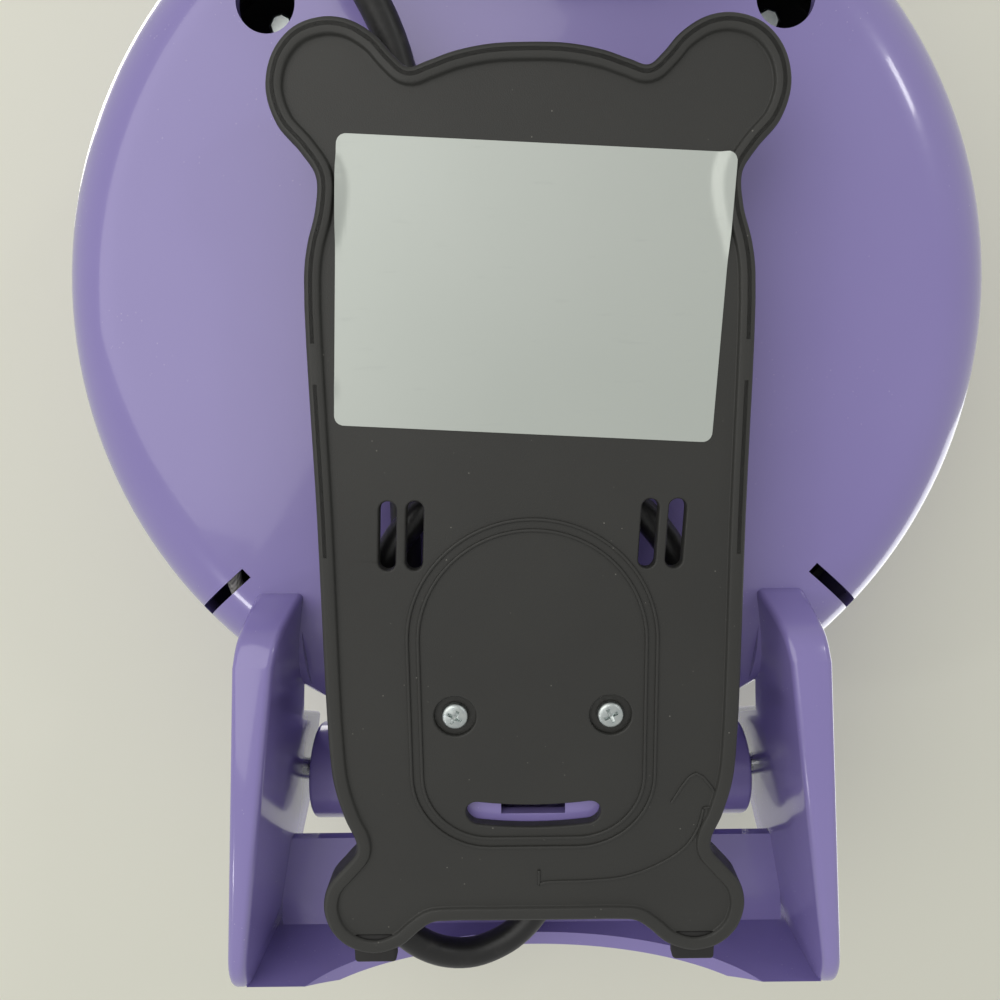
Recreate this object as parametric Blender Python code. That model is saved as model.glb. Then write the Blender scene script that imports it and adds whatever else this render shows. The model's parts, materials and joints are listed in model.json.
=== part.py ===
"""Cake pop maker: a round two-shell cooker with a hinged lid, twelve ball cavities
and a cord-wrap base plate. Metres, +Z up, front towards -Y, standing on its base plate."""

from math import asin, cos, pi, radians, sin, sqrt

import bmesh
import bpy
from mathutils import Matrix, Vector

# Shared fits and walls
CLEARANCE = 0.0003
WALL = 0.0025
OVERRUN = 0.004

# Width of the bowl, which the cavities and rings follow
BOWL_RADIUS = 0.116

# Heights, up from the table
PAN_HEIGHT = 0.007
CORD_DIAMETER = 0.007
CORD_LAYERS = 2
CORD_SLACK = 0.0015
LID_HEIGHT = 0.049
BOWL_BOTTOM = PAN_HEIGHT + CORD_LAYERS * CORD_DIAMETER + CORD_SLACK
SHIELD_STANDOFF = 0.0065
SHIELD_ROOM = 0.007
CAVITY_SHARE = 0.15345
CAVITY_RADIUS = BOWL_RADIUS * CAVITY_SHARE
CAVITY_WALL = 0.0017
PARTING_HEIGHT = BOWL_BOTTOM + WALL + SHIELD_STANDOFF + SHIELD_ROOM + CAVITY_WALL + CAVITY_RADIUS
LID_TOP = PARTING_HEIGHT + LID_HEIGHT

# Lower housing
BOWL_CORNER = 0.020
BOWL_CROWN = 0.002
REAR_FLAT_DEPTH = 0.0025
REAR_FLAT = BOWL_RADIUS - REAR_FLAT_DEPTH
CREASE_END_MARGIN = 0.016
CREASE_LENGTH = 0.029
CREASE_END = BOWL_RADIUS - CREASE_END_MARGIN
CREASE_REACH = CREASE_END - CREASE_LENGTH
CREASE_RISE = 0.0105
VENT_MARGIN = 0.003
VENT_LENGTH = 0.019
VENT_OUTER = BOWL_RADIUS - VENT_MARGIN
VENT_INNER = VENT_OUTER - VENT_LENGTH
VENT_WIDTH = 0.003
VENT_ANGLE = 41.0

# Rear legs and back wall of the lower housing
LEG_UNDER_BOWL = 0.049
LEG_FRONT = BOWL_RADIUS - LEG_UNDER_BOWL
LEG_BEHIND_BOWL = 0.054
LEG_REAR = BOWL_RADIUS + LEG_BEHIND_BOWL
LEG_BOTTOM = 0.0045
LEG_NOSE_RISE = 0.019
LEG_NOSE_RUN = 0.012
LEG_HEEL = 0.016
LEG_INNER = 0.0605
LEG_OUTER = 0.0692
LEG_INNER_SPREAD_SHARE = 0.15
LEG_OUTER_SPREAD_SHARE = 0.085
LEG_INNER_DRAFT_SHARE = -0.03
LEG_OUTER_DRAFT_SHARE = 0.05
LEG_SPREAD_RUN = 0.019
LEG_SPREAD_START = LEG_FRONT + LEG_SPREAD_RUN
LEG_TOP_LENGTH = 0.032
LEG_TOP_LAND = LEG_REAR - LEG_TOP_LENGTH
LEG_EDGE_ROUND = 0.002
LEG_ROOT_SHARE = 0.9
BACK_WALL = 0.004
BACK_DROP = 0.012
BACK_TOP = PARTING_HEIGHT - BACK_DROP
SKIRT_FRONT_HEIGHT = 0.0365
SKIRT_REAR_HEIGHT = 0.0315
ARCH_HALF_WIDTH = 0.062
ARCH_TOP = 0.028

# Cord-wrap core under the bowl
CORE_HALF_WIDTH = 0.026
CORE_BEHIND_BOWL = 0.004
CORE_LENGTH = 0.074
CORE_REAR = BOWL_RADIUS + CORE_BEHIND_BOWL
CORE_FRONT = CORE_REAR - CORE_LENGTH
CORE_REAR_CORNER = 0.016
CORE_ROOF = 0.031
CORE_FLOOR_WINDOW = 0.015
CORE_SEAT = 0.0038

# Base plate
PLATE_PANEL = 0.0025
PLATE_RECESS = 0.001
PLATE_RIM = 0.0034
PLATE_HALF_WIDTH = 0.04625
PLATE_BEHIND_CORE = 0.0289
PLATE_LENGTH = 0.2045
PLATE_REAR = CORE_REAR + PLATE_BEHIND_CORE
PLATE_FRONT = PLATE_REAR - PLATE_LENGTH
PLATE_EDGE_SHARES = (
    (0.000, 0.0240), (0.170, 0.0255), (0.320, 0.0318), (0.430, 0.0400), (0.510, 0.0450),
    (0.570, 0.0345), (0.640, 0.0175), (0.745, 0.0035), (0.860, 0.0000), (0.990, 0.0090),
    (1.085, 0.0320), (1.120, 0.0640), (1.080, 0.0960), (0.985, 0.1215), (0.925, 0.1440),
    (0.935, 0.1750), (0.978, 0.2080), (1.000, 0.2400), (1.000, 0.4850), (1.000, 0.7450),
    (0.985, 0.7900), (0.940, 0.8300), (0.892, 0.8580), (0.896, 0.8720), (0.960, 0.8900),
    (1.045, 0.9140), (1.072, 0.9420), (1.035, 0.9720), (0.940, 0.9930), (0.810, 1.0000),
    (0.680, 0.9900), (0.590, 0.9720), (0.520, 0.9610), (0.430, 0.9590), (0.200, 0.9590),
)
BEAD_WIDTH = 0.0024
BEAD_HEIGHT = 0.0005
BEAD_MARGIN = 0.0022
SLOT_LENGTH = 0.031
SLOT_WIDTH = 0.0055
SLOT_MARGIN = 0.0065
SLOT_REACH = CORE_REAR - SLOT_MARGIN
GRILLE_INNER = 0.0254
GRILLE_PITCH = 0.0059
GRILLE_BEHIND_FRONT = 0.1033
GRILLE_REACH = PLATE_FRONT + GRILLE_BEHIND_FRONT
GRILLE_LENGTH = 0.0153
GRILLE_WIDTH = 0.0037
PLATE_SCREW_X = 0.0176
PLATE_SCREW_MARGIN = 0.0306
PLATE_SCREW_REACH = CORE_REAR - PLATE_SCREW_MARGIN
COUNTERBORE_RADIUS = 0.0047
SCREW_HEAD_RADIUS = 0.00315
SCREW_HEAD_HEIGHT = 0.0016
SCREW_SHANK_RADIUS = 0.0015
SCREW_CROWN_SHARE = 0.75
PLATE_SCREW_LENGTH = 0.012
CORE_BOSS_RADIUS = 0.0045
CORE_BOSS_HEIGHT = 0.011
NUB_WIDTH = 0.010
NUB_DEPTH = 0.0075
NUB_PROUD = 0.003
NUB_HEIGHT = 0.0036
NUB_X = 0.038
LABEL_WIDTH = 0.080
LABEL_DEPTH = 0.058
LABEL_BEHIND_FRONT = 0.0524
LABEL_REACH = PLATE_FRONT + LABEL_BEHIND_FRONT
LABEL_TURN = 3.2
LABEL_THICKNESS = 0.0003
LABEL_CORNER = 0.002

# Baking plates and their cavities
BAKING_MARGIN = 0.003
BAKING_RADIUS = BOWL_RADIUS - WALL - BAKING_MARGIN
BAKING_SKIN = 0.002
BAKING_FLANGE = 0.006
BAKING_GAP = 0.0005
OUTER_RING_SHARE = 0.586207
INNER_RING_SHARE = 0.232759
OUTER_RING = BOWL_RADIUS * OUTER_RING_SHARE
INNER_RING = BOWL_RADIUS * INNER_RING_SHARE
OUTER_COUNT = 9
INNER_COUNT = 3
STUD_MARGIN = 0.0205
STUD_RING = BAKING_RADIUS - STUD_MARGIN
STUD_ANGLES = (-50.0, -130.0, 70.0, 110.0)
STUD_RADIUS = 0.0038
COLUMN_RADIUS = 0.0088
LID_COLUMN_RADIUS = 0.0062
WELL_RADIUS = 0.0066
COLUMN_HEIGHT_SHARE = 0.52
SEAT_THICKNESS = 0.003
HOUSING_SCREW_LENGTH = 0.013
ELEMENT_RING = (INNER_RING + OUTER_RING) / 2
CLIP_INSIDE_ELEMENT = 0.0085
CLIP_RING = ELEMENT_RING - CLIP_INSIDE_ELEMENT
CLIP_ANGLES = (30.0, 150.0, 270.0)
CLIP_STUD_RADIUS = 0.003
CLIP_WIDTH = 0.008
CLIP_THICKNESS = 0.0012
CLIP_OVERHANG = 0.0035

# Heating elements and shields
ELEMENT_RADIUS = 0.0032
ELEMENT_DROP = 0.012
ELEMENT_OPEN = 11.0
ELEMENT_END_DROP = 0.009
ELEMENT_POINTS = 32
SHIELD_MARGIN = 0.0325
SHIELD_RADIUS = BAKING_RADIUS - SHIELD_MARGIN
SHIELD_THICKNESS = 0.0008
SHIELD_LIP = 0.004
SHIELD_WINDOW = 0.012
SHIELD_POST_RADIUS = 0.003
SHIELD_POST_MARGIN = 0.022
SHIELD_POST_RING = SHIELD_RADIUS - SHIELD_POST_MARGIN
THERMOSTAT_RADIUS = 0.008
THERMOSTAT_HEIGHT = 0.006
THERMOSTAT_BACK_SHARE = 0.8
THERMOSTAT_RING = STUD_RING
THERMOSTAT_ANGLE = 30.0
FUSE_ANGLE = 150.0
FUSE_LENGTH = 0.022
FUSE_RADIUS = 0.003
PAD_HEIGHT = 0.004
TAB_WIDTH = 0.005
TAB_THICKNESS = 0.0008
TAB_LENGTH = 0.006

# Lid hinge
BARREL_RADIUS = 0.0135
BARREL_GAP = 0.001
HINGE_DROP = 0.009
HINGE_HEIGHT = PARTING_HEIGHT - HINGE_DROP
BARREL_END_GAP = 0.0008
HINGE_PIN_RADIUS = 0.003
HINGE_PIN_GRIP = 0.012
HINGE_HEAD_RADIUS = 0.0048
HINGE_HEAD_HEIGHT = 0.0016
HINGE_CROWN_SHARE = 0.8
NECK_HALF_WIDTH = 0.058
NECK_OVERLAP = 0.0195
NECK_START = REAR_FLAT - NECK_OVERLAP
NECK_HEIGHT = 0.020
NECK_SHOULDER_SHARE = 0.55

# Lid
LID_SIDE = 0.010
LID_TOP_RADIUS_SHARE = 0.62
LENS_X = 0.011
LENS_MARGIN = 0.042
LENS_REACH = LENS_MARGIN - BOWL_RADIUS
LENS_RADIUS = 0.0046
LENS_FLANGE = 0.0012
LENS_DOME = 0.0022
LENS_CROWN_SHARE = 0.7
LENS_SHOULDER_SHARE = 0.8
LENS_DEPTH = 0.006
LAMP_RADIUS = 0.0028
LAMP_LENGTH = 0.009

# Handles and latch
HANDLE_REACH = 0.0325
HANDLE_HALF_WIDTH = 0.030
HANDLE_THICKNESS = 0.014
HANDLE_CORNER = 0.014
HANDLE_EDGE = 0.003
HANDLE_ROOT = 0.010
HANDLE_SCREW_X = 0.014
HANDLE_SCREW_DROP = 0.0102
HANDLE_SCREW_LENGTH = 0.012
LATCH_HALF_WIDTH = 0.0105
LATCH_THICKNESS = 0.0018
LATCH_EYE_RADIUS = 0.003
LATCH_PIN_RADIUS = 0.0014
LATCH_PIVOT_RISE = 0.007
LATCH_TIP = 0.0024
LATCH_HOOK_GAP = 0.0015
LATCH_EAR = 0.003

# Supply cord, its exit and its plug
STRAIN_LENGTH = 0.020
STRAIN_RADIUS = 0.0058
STRAIN_TIP_RADIUS = 0.0042
STRAIN_FLANGE = 0.0015
CORD_LOOP_POINTS = (
    (0.0028, 0.1445, 0.01855), (0.0018, 0.1490, 0.0183), (-0.0012, 0.1538, 0.0176),
    (-0.0070, 0.1582, 0.0163), (-0.0150, 0.1604, 0.0146), (-0.0230, 0.1590, 0.0131),
    (-0.0300, 0.1545, 0.0119), (-0.0352, 0.1480, 0.0112), (-0.0374, 0.1400, 0.0109),
    (-0.0374, 0.1320, 0.0109),
)
CORD_TAIL_POINTS = (
    (-0.0298, 0.0570, 0.01855), (-0.0298, 0.0400, 0.0186), (-0.0290, 0.0200, 0.0183),
    (-0.0270, 0.0000, 0.0172), (-0.0250, -0.0200, 0.0158), (-0.0250, -0.0400, 0.0142),
    (-0.0285, -0.0560, 0.0118), (-0.0360, -0.0700, 0.0080), (-0.0430, -0.0800, 0.0056),
    (-0.0440, -0.0900, 0.0050), (-0.0380, -0.0980, 0.0052), (-0.0280, -0.0990, 0.0060),
    (-0.0215, -0.0945, 0.0072), (-0.0155, -0.0900, 0.0080), (-0.0083, -0.0900, 0.0080),
)
WINDING_STEPS = 24
WINDING_PITCH = 0.0076
WINDING_START_GAP = 0.0003
WINDING_TURNS_SHARE = 1.13
LANE_END_SHARE = 0.97
CLIMB_START_SHARE = 0.93
CLIMB_SPAN_SHARE = 0.17
PLUG_LENGTH = 0.030
PLUG_WIDTH = 0.022
PLUG_HEIGHT = 0.0155
PLUG_X = 0.006
PLUG_MARGIN = 0.026
PLUG_REACH = PLUG_MARGIN - BOWL_RADIUS
PLUG_NECK_LENGTH = 0.014
PLUG_NECK_RADIUS = 0.0048
PLUG_SHOULDER_SHARE = 0.42
PLUG_ROUND = 0.003
BLADE_LENGTH = 0.016
BLADE_WIDTH = 0.0063
BLADE_THICKNESS = 0.0015
BLADE_PITCH = 0.0127
BLADE_ROOT = 0.006

# Wiring inside
WIRE_RADIUS = 0.0011
BLOCK_LENGTH = 0.022
BLOCK_WIDTH = 0.014
BLOCK_HEIGHT = 0.009
BLOCK_MARGIN = 0.050
BLOCK_REACH = CORE_REAR - BLOCK_MARGIN
LEAD_SPREAD_SHARE = 1.3

# Derived places
CORE_BOTTOM = CORE_SEAT
FRONT_REACH = BOWL_RADIUS + HANDLE_REACH
HINGE_REACH = REAR_FLAT + BARREL_GAP + BARREL_RADIUS
SKIRT_FRONT = HINGE_REACH + BARREL_RADIUS + BARREL_GAP
LATCH_PIVOT_REACH = FRONT_REACH + LATCH_EYE_RADIUS + CLEARANCE
PIVOT_HEIGHT = PARTING_HEIGHT + BAKING_GAP + LATCH_PIVOT_RISE
AXIS_Y = (LATCH_PIVOT_REACH + LATCH_EYE_RADIUS - LEG_REAR) / 2
SIDES = (-1, 1)
HOUSING_SEGMENTS = 48
SCREW_SEGMENTS = 8


def material(name, colour, roughness, metallic=0.0):
    """A plain finish for one piece."""
    made = bpy.data.materials.new(name)
    made.use_nodes = True
    shader = made.node_tree.nodes["Principled BSDF"]
    shader.inputs["Base Color"].default_value = (*colour, 1.0)
    shader.inputs["Roughness"].default_value = roughness
    shader.inputs["Metallic"].default_value = metallic
    made.diffuse_color = (*colour, 1.0)
    return made


def clear_scene():
    for old in list(bpy.data.objects):
        bpy.data.objects.remove(old, do_unlink=True)


def empty(name, place, parent=None):
    """A bare axis that pieces hang on."""
    made = bpy.data.objects.new(name, None)
    bpy.context.collection.objects.link(made)
    made.location = place
    made.parent = parent
    return made


def place(name, bm, finish, parent, offset=(0, 0, 0)):
    """Turn a bmesh into a named piece under its parent, with smooth round faces."""
    bmesh.ops.translate(bm, verts=bm.verts, vec=-Vector(offset))
    bmesh.ops.recalc_face_normals(bm, faces=bm.faces)
    mesh = bpy.data.meshes.new(name)
    bm.to_mesh(mesh)
    bm.free()
    mesh.shade_smooth()
    mesh.set_sharp_from_angle(angle=radians(35))
    made = bpy.data.objects.new(name, mesh)
    bpy.context.collection.objects.link(made)
    made.parent = parent
    if finish:
        mesh.materials.append(finish)
    return made


def combine(target, bm, operation, parent, offset=(0, 0, 0)):
    """Cut a shape from a piece, or join it on."""
    tool = place(f"{target.name}_{operation.lower()}_{len(target.modifiers)}", bm, None, parent, offset)
    tool.hide_render = True
    tool.display_type = "WIRE"
    step = target.modifiers.new(operation.title(), "BOOLEAN")
    step.operation = operation
    step.solver = "EXACT"
    step.object = tool


def turned(profile, segments=64):
    """A closed solid of revolution from (radius, height) points, both ends on the axis."""
    bm = bmesh.new()
    verts = [bm.verts.new((r, 0, z)) for r, z in profile]
    edges = [bm.edges.new(pair) for pair in zip(verts, verts[1:])]
    bmesh.ops.spin(bm, geom=verts + edges, cent=(0, 0, 0), axis=(0, 0, 1), angle=2 * pi,
                   steps=segments, use_merge=True)
    bmesh.ops.remove_doubles(bm, verts=bm.verts, dist=CLEARANCE / 30)
    return bm


def ring(profile, segments=64):
    """A closed ring from a loop of (radius, height) points clear of the axis."""
    bm = bmesh.new()
    verts = [bm.verts.new((r, 0, z)) for r, z in profile]
    edges = [bm.edges.new((verts[i - 1], verts[i])) for i in range(len(verts))]
    bmesh.ops.spin(bm, geom=verts + edges, cent=(0, 0, 0), axis=(0, 0, 1), angle=2 * pi,
                   steps=segments, use_merge=True)
    bmesh.ops.remove_doubles(bm, verts=bm.verts, dist=CLEARANCE / 30)
    return bm


def prism(outline, low, high):
    """An outline of (x, y) points raised from one height to another."""
    bm = bmesh.new()
    face = bm.faces.new([bm.verts.new((x, y, low)) for x, y in outline])
    raised = bmesh.ops.extrude_face_region(bm, geom=[face])
    tops = [v for v in raised["geom"] if isinstance(v, bmesh.types.BMVert)]
    bmesh.ops.translate(bm, verts=tops, vec=(0, 0, high - low))
    return bm


def box(low, high):
    """A plain block between two corners."""
    bm = bmesh.new()
    size = Vector(high) - Vector(low)
    middle = (Vector(high) + Vector(low)) / 2
    bmesh.ops.create_cube(bm, size=1, matrix=Matrix.Translation(middle) @ Matrix.Diagonal((*size, 1)))
    return bm


def side_prism(outline, left, right):
    """An outline of (y, z) points drawn out along X."""
    bm = prism(outline, left, right)
    for v in bm.verts:
        y, z, x = v.co
        v.co = (x, y, z)
    return bm


def cylinder(radius, start, end, segments=20):
    """A round bar between two points."""
    bm = bmesh.new()
    way = Vector(end) - Vector(start)
    turn = way.to_track_quat("Z", "Y").to_matrix().to_4x4()
    middle = (Vector(start) + Vector(end)) / 2
    bmesh.ops.create_cone(bm, cap_ends=True, segments=segments, radius1=radius, radius2=radius,
                          depth=way.length, matrix=Matrix.Translation(middle) @ turn)
    return bm


def merged(parts):
    """Several bmeshes kept as separate bodies of one mesh."""
    whole = bmesh.new()
    for part in parts:
        mesh = bpy.data.meshes.new("loose")
        part.to_mesh(mesh)
        part.free()
        whole.from_mesh(mesh)
        bpy.data.meshes.remove(mesh)
    return whole


def polar(ring, angle, height=0):
    """A place on a ring about the bowl's axis; 90 degrees is the rear."""
    return Vector((ring * cos(radians(angle)), ring * sin(radians(angle)), height))


def arc(centre, radius, start, end, steps):
    """Points along an arc, in degrees."""
    angles = [radians(start + (end - start) * i / steps) for i in range(steps + 1)]
    return [(centre[0] + radius * cos(a), centre[1] + radius * sin(a)) for a in angles]


def smooth_through(points, steps, closed):
    """A smooth curve through hand-placed points."""
    points = [Vector(p) for p in points]
    count = len(points)
    spans = count if closed else count - 1
    result = []
    for i in range(spans):
        if closed:
            a, b, c, d = (points[(i + k) % count] for k in (-1, 0, 1, 2))
        else:
            a, b, c, d = (points[min(max(i + k, 0), count - 1)] for k in (-1, 0, 1, 2))
        for k in range(steps):
            t = k / steps
            result.append(0.5 * (2 * b + (c - a) * t + (2 * a - 5 * b + 4 * c - d) * t * t
                                 + (3 * b - a - 3 * c + d) * t ** 3))
    if not closed:
        result.append(points[-1])
    return result


def rounded_rectangle(half_x, half_y, corner, steps=4):
    """Outline of a rectangle with round corners, about its own middle."""
    outline = []
    for sx, sy, start in ((1, 1, 0), (-1, 1, 90), (-1, -1, 180), (1, -1, 270)):
        centre = (sx * (half_x - corner), sy * (half_y - corner))
        outline += arc(centre, corner, start, start + 90, steps)
    return outline


def slot_outline(centre, length, width, along_x, steps=6):
    """Outline of a slot with round ends."""
    half = (length - width) / 2
    if along_x:
        return (arc((centre[0] + half, centre[1]), width / 2, -90, 90, steps)
                + arc((centre[0] - half, centre[1]), width / 2, 90, 270, steps))
    return (arc((centre[0], centre[1] + half), width / 2, 0, 180, steps)
            + arc((centre[0], centre[1] - half), width / 2, 180, 360, steps))


def round_edges(bm, width, chosen, segments=2):
    """Round the edges that pass a test."""
    bm.normal_update()
    edges = [e for e in bm.edges if chosen(e)]
    bmesh.ops.bevel(bm, geom=edges, offset=width, offset_type="OFFSET", segments=segments,
                    profile=0.5, affect="EDGES", material=-1)
    bmesh.ops.remove_doubles(bm, verts=bm.verts, dist=CLEARANCE / 10)
    bmesh.ops.dissolve_degenerate(bm, edges=bm.edges, dist=CLEARANCE / 10)
    return bm


def tube(name, points, radius, finish, parent, sides_level=2):
    """A round cord or wire through points, with filled ends."""
    curve = bpy.data.curves.new(name, "CURVE")
    curve.dimensions = "3D"
    curve.bevel_depth = radius
    curve.bevel_resolution = sides_level
    curve.use_fill_caps = True
    spline = curve.splines.new("POLY")
    spline.points.add(len(points) - 1)
    for point, place_at in zip(spline.points, points):
        point.co = (*place_at, 1)
    curve.materials.append(finish)
    made = bpy.data.objects.new(name, curve)
    bpy.context.collection.objects.link(made)
    made.parent = parent
    return made


def core_outline(grow, front_steps=12, corner_steps=4):
    """The cord-wrap core seen from above: round front, straight sides, round rear corners."""
    half = CORE_HALF_WIDTH + grow
    corner = CORE_REAR_CORNER + grow
    middle = CORE_FRONT + CORE_HALF_WIDTH
    inset = CORE_HALF_WIDTH - CORE_REAR_CORNER
    rear = CORE_REAR - CORE_REAR_CORNER
    return (arc((0, middle), half, 180, 360, front_steps)
            + arc((inset, rear), corner, 0, 90, corner_steps)
            + arc((-inset, rear), corner, 90, 180, corner_steps))


def plate_outline(inset=0.0):
    """The base plate's outline with its four round lobes, moved inwards by an inset."""
    length = PLATE_REAR - PLATE_FRONT
    right = [(x * PLATE_HALF_WIDTH, PLATE_FRONT + y * length) for x, y in PLATE_EDGE_SHARES]
    middle_rear = (0, right[-1][1])
    left = [(-x, y) for x, y in reversed(right[1:])]
    curve = smooth_through(right + [middle_rear] + left, 1, True)
    if not inset:
        return [(p.x, p.y) for p in curve]
    moved = []
    for i, p in enumerate(curve):
        way = (curve[(i + 1) % len(curve)] - curve[i - 1]).normalized()
        moved.append((p.x - way.y * inset, p.y + way.x * inset))
    return moved


def leg_x(y, z, inner):
    """Where a leg's inner or outer face lies at a height and reach."""
    run = y - LEG_SPREAD_START
    if inner:
        return LEG_INNER + LEG_INNER_SPREAD_SHARE * run + LEG_INNER_DRAFT_SHARE * z
    return LEG_OUTER + LEG_OUTER_SPREAD_SHARE * run + LEG_OUTER_DRAFT_SHARE * z


def leg_shape(side):
    """One rear leg, from the bowl's underside back to the rear edge."""
    top = PARTING_HEIGHT - WALL / 2
    heel = arc((LEG_REAR - LEG_HEEL, LEG_BOTTOM + LEG_HEEL), LEG_HEEL, 270, 360, 4)
    shoulder = arc((LEG_REAR - LEG_HEEL, BACK_TOP - LEG_HEEL), LEG_HEEL, 10, 60, 3)
    outline = ([(LEG_FRONT, LEG_BOTTOM + LEG_NOSE_RISE + OVERRUN), (LEG_FRONT, LEG_BOTTOM + LEG_NOSE_RISE),
                (LEG_FRONT + LEG_NOSE_RUN / 2, LEG_BOTTOM + LEG_NOSE_RISE / 4),
                (LEG_FRONT + LEG_NOSE_RUN, LEG_BOTTOM)]
               + heel + shoulder + [(LEG_TOP_LAND, top), (BOWL_RADIUS - WALL, top),
                                    (BOWL_RADIUS * LEG_ROOT_SHARE, PARTING_HEIGHT - BOWL_CORNER)])
    bm = bmesh.new()
    inner = [bm.verts.new((side * leg_x(y, z, True), y, z)) for y, z in outline]
    outer = [bm.verts.new((side * leg_x(y, z, False), y, z)) for y, z in outline]
    bm.faces.new(inner)
    bm.faces.new(outer)
    for i in range(len(outline)):
        k = (i + 1) % len(outline)
        bm.faces.new((inner[i], inner[k], outer[k], outer[i]))
    bmesh.ops.recalc_face_normals(bm, faces=bm.faces)
    caps = {f for f in bm.faces if len(f.verts) == len(outline)}

    def lower_rim(edge):
        touches = any(f in caps for f in edge.link_faces)
        low = all(v.co.z < LEG_BOTTOM + LEG_NOSE_RISE + CLEARANCE for v in edge.verts)
        return touches and low and all(v.co.y > LEG_FRONT + CLEARANCE for v in edge.verts)

    return round_edges(bm, LEG_EDGE_ROUND, lower_rim)


def bowl_profile(inset):
    """The bowl's outside as (radius, height) points, or its inside at a wall's inset."""
    radius = BOWL_RADIUS - inset
    corner = BOWL_CORNER - inset
    bottom = BOWL_BOTTOM + inset
    side = arc((BOWL_RADIUS - BOWL_CORNER, BOWL_BOTTOM + BOWL_CROWN + BOWL_CORNER), corner, -90, 0, 5)
    top = PARTING_HEIGHT + (OVERRUN if inset else 0)
    return [(0, bottom)] + side + [(radius, top), (0, top)]


def crease_shape(lift, front_shift):
    """The wedge that lifts the bowl's underside between the legs."""
    rise = BOWL_BOTTOM + CREASE_RISE
    outline = [(CREASE_REACH - front_shift, 0), (CREASE_REACH - front_shift, BOWL_BOTTOM + lift),
               (CREASE_END - front_shift, rise + lift), (LEG_REAR, rise + lift), (LEG_REAR, 0)]
    half = LEG_INNER - WALL
    return side_prism(outline, -half - lift, half + lift)


def lower_housing(finish, parent):
    """Bowl, cord-wrap core, legs, back wall with its arch, vents, screw columns and pin holes."""
    piece = place("lower_housing", turned(bowl_profile(0), HOUSING_SEGMENTS), finish, parent)

    def cut(bm):
        combine(piece, bm, "DIFFERENCE", parent)

    def join(bm):
        combine(piece, bm, "UNION", parent)

    cut(box((-LEG_INNER, REAR_FLAT, 0), (LEG_INNER, BOWL_RADIUS + OVERRUN, PARTING_HEIGHT + OVERRUN)))
    cut(crease_shape(0, 0))
    for side in SIDES:
        join(leg_shape(side))
    inner_x = leg_x(LEG_REAR - BACK_WALL / 2, LEG_BOTTOM, True) + LEG_EDGE_ROUND / 2
    wall = side_prism([(LEG_REAR - BACK_WALL, LEG_BOTTOM + LEG_HEEL / 3), (LEG_REAR - CLEARANCE, LEG_HEEL),
                       (LEG_REAR - CLEARANCE, BACK_TOP - LEG_HEEL / 2),
                       (LEG_REAR - BACK_WALL, BACK_TOP - CLEARANCE)], -inner_x, inner_x)
    join(wall)
    skirt = side_prism([(SKIRT_FRONT, SKIRT_FRONT_HEIGHT), (LEG_REAR - BACK_WALL / 2, SKIRT_REAR_HEIGHT),
                        (LEG_REAR - BACK_WALL / 2, SKIRT_REAR_HEIGHT + WALL),
                        (SKIRT_FRONT, SKIRT_FRONT_HEIGHT + WALL)], -inner_x + WALL, inner_x - WALL)
    join(skirt)
    join(prism(core_outline(0), CORE_BOTTOM, CORE_ROOF))
    inside = place("bowl_inside", turned(bowl_profile(WALL), HOUSING_SEGMENTS), None, parent)
    combine(inside, crease_shape(WALL, WALL / 2), "DIFFERENCE", parent)
    combine(inside, box((-LEG_INNER, REAR_FLAT - WALL, 0),
                        (LEG_INNER, BOWL_RADIUS + OVERRUN, LID_TOP)), "DIFFERENCE", parent)
    inside.hide_render = True
    inside.display_type = "WIRE"
    step = piece.modifiers.new("Inside", "BOOLEAN")
    step.operation = "DIFFERENCE"
    step.solver = "EXACT"
    step.object = inside
    floor = CORE_BOTTOM + WALL
    cut(prism(core_outline(-WALL), floor, CORE_ROOF - WALL))
    cut(box((-CORE_HALF_WIDTH + 2 * WALL, CORE_FRONT + CORE_HALF_WIDTH / 2, floor + WALL),
            (CORE_HALF_WIDTH - 2 * WALL, CREASE_END, BOWL_BOTTOM + CREASE_RISE + 2 * WALL)))
    arch = [(ARCH_HALF_WIDTH * x, ARCH_TOP * z) for x, z in arc((0, 0), 1, 0, 180, 12)]
    arch_bm = prism([(ARCH_HALF_WIDTH, -LEG_BOTTOM)] + arch + [(-ARCH_HALF_WIDTH, -LEG_BOTTOM)],
                    LEG_REAR - 2 * BACK_WALL, LEG_REAR + OVERRUN)
    for v in arch_bm.verts:
        x, z, y = v.co
        v.co = (x, y, z)
    cut(arch_bm)
    for side in SIDES:
        angle = 90 - side * (90 - VENT_ANGLE)
        start, end = polar(VENT_INNER, angle), polar(VENT_OUTER, angle)
        across = (end - start).normalized().cross(Vector((0, 0, 1))) * VENT_WIDTH / 2
        corners = [(p.x, p.y) for p in (start - across, end - across, end + across, start + across)]
        cut(prism(corners, BOWL_BOTTOM - OVERRUN, BOWL_BOTTOM + BOWL_CROWN + BOWL_CORNER))
    return piece, cut, join


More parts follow.
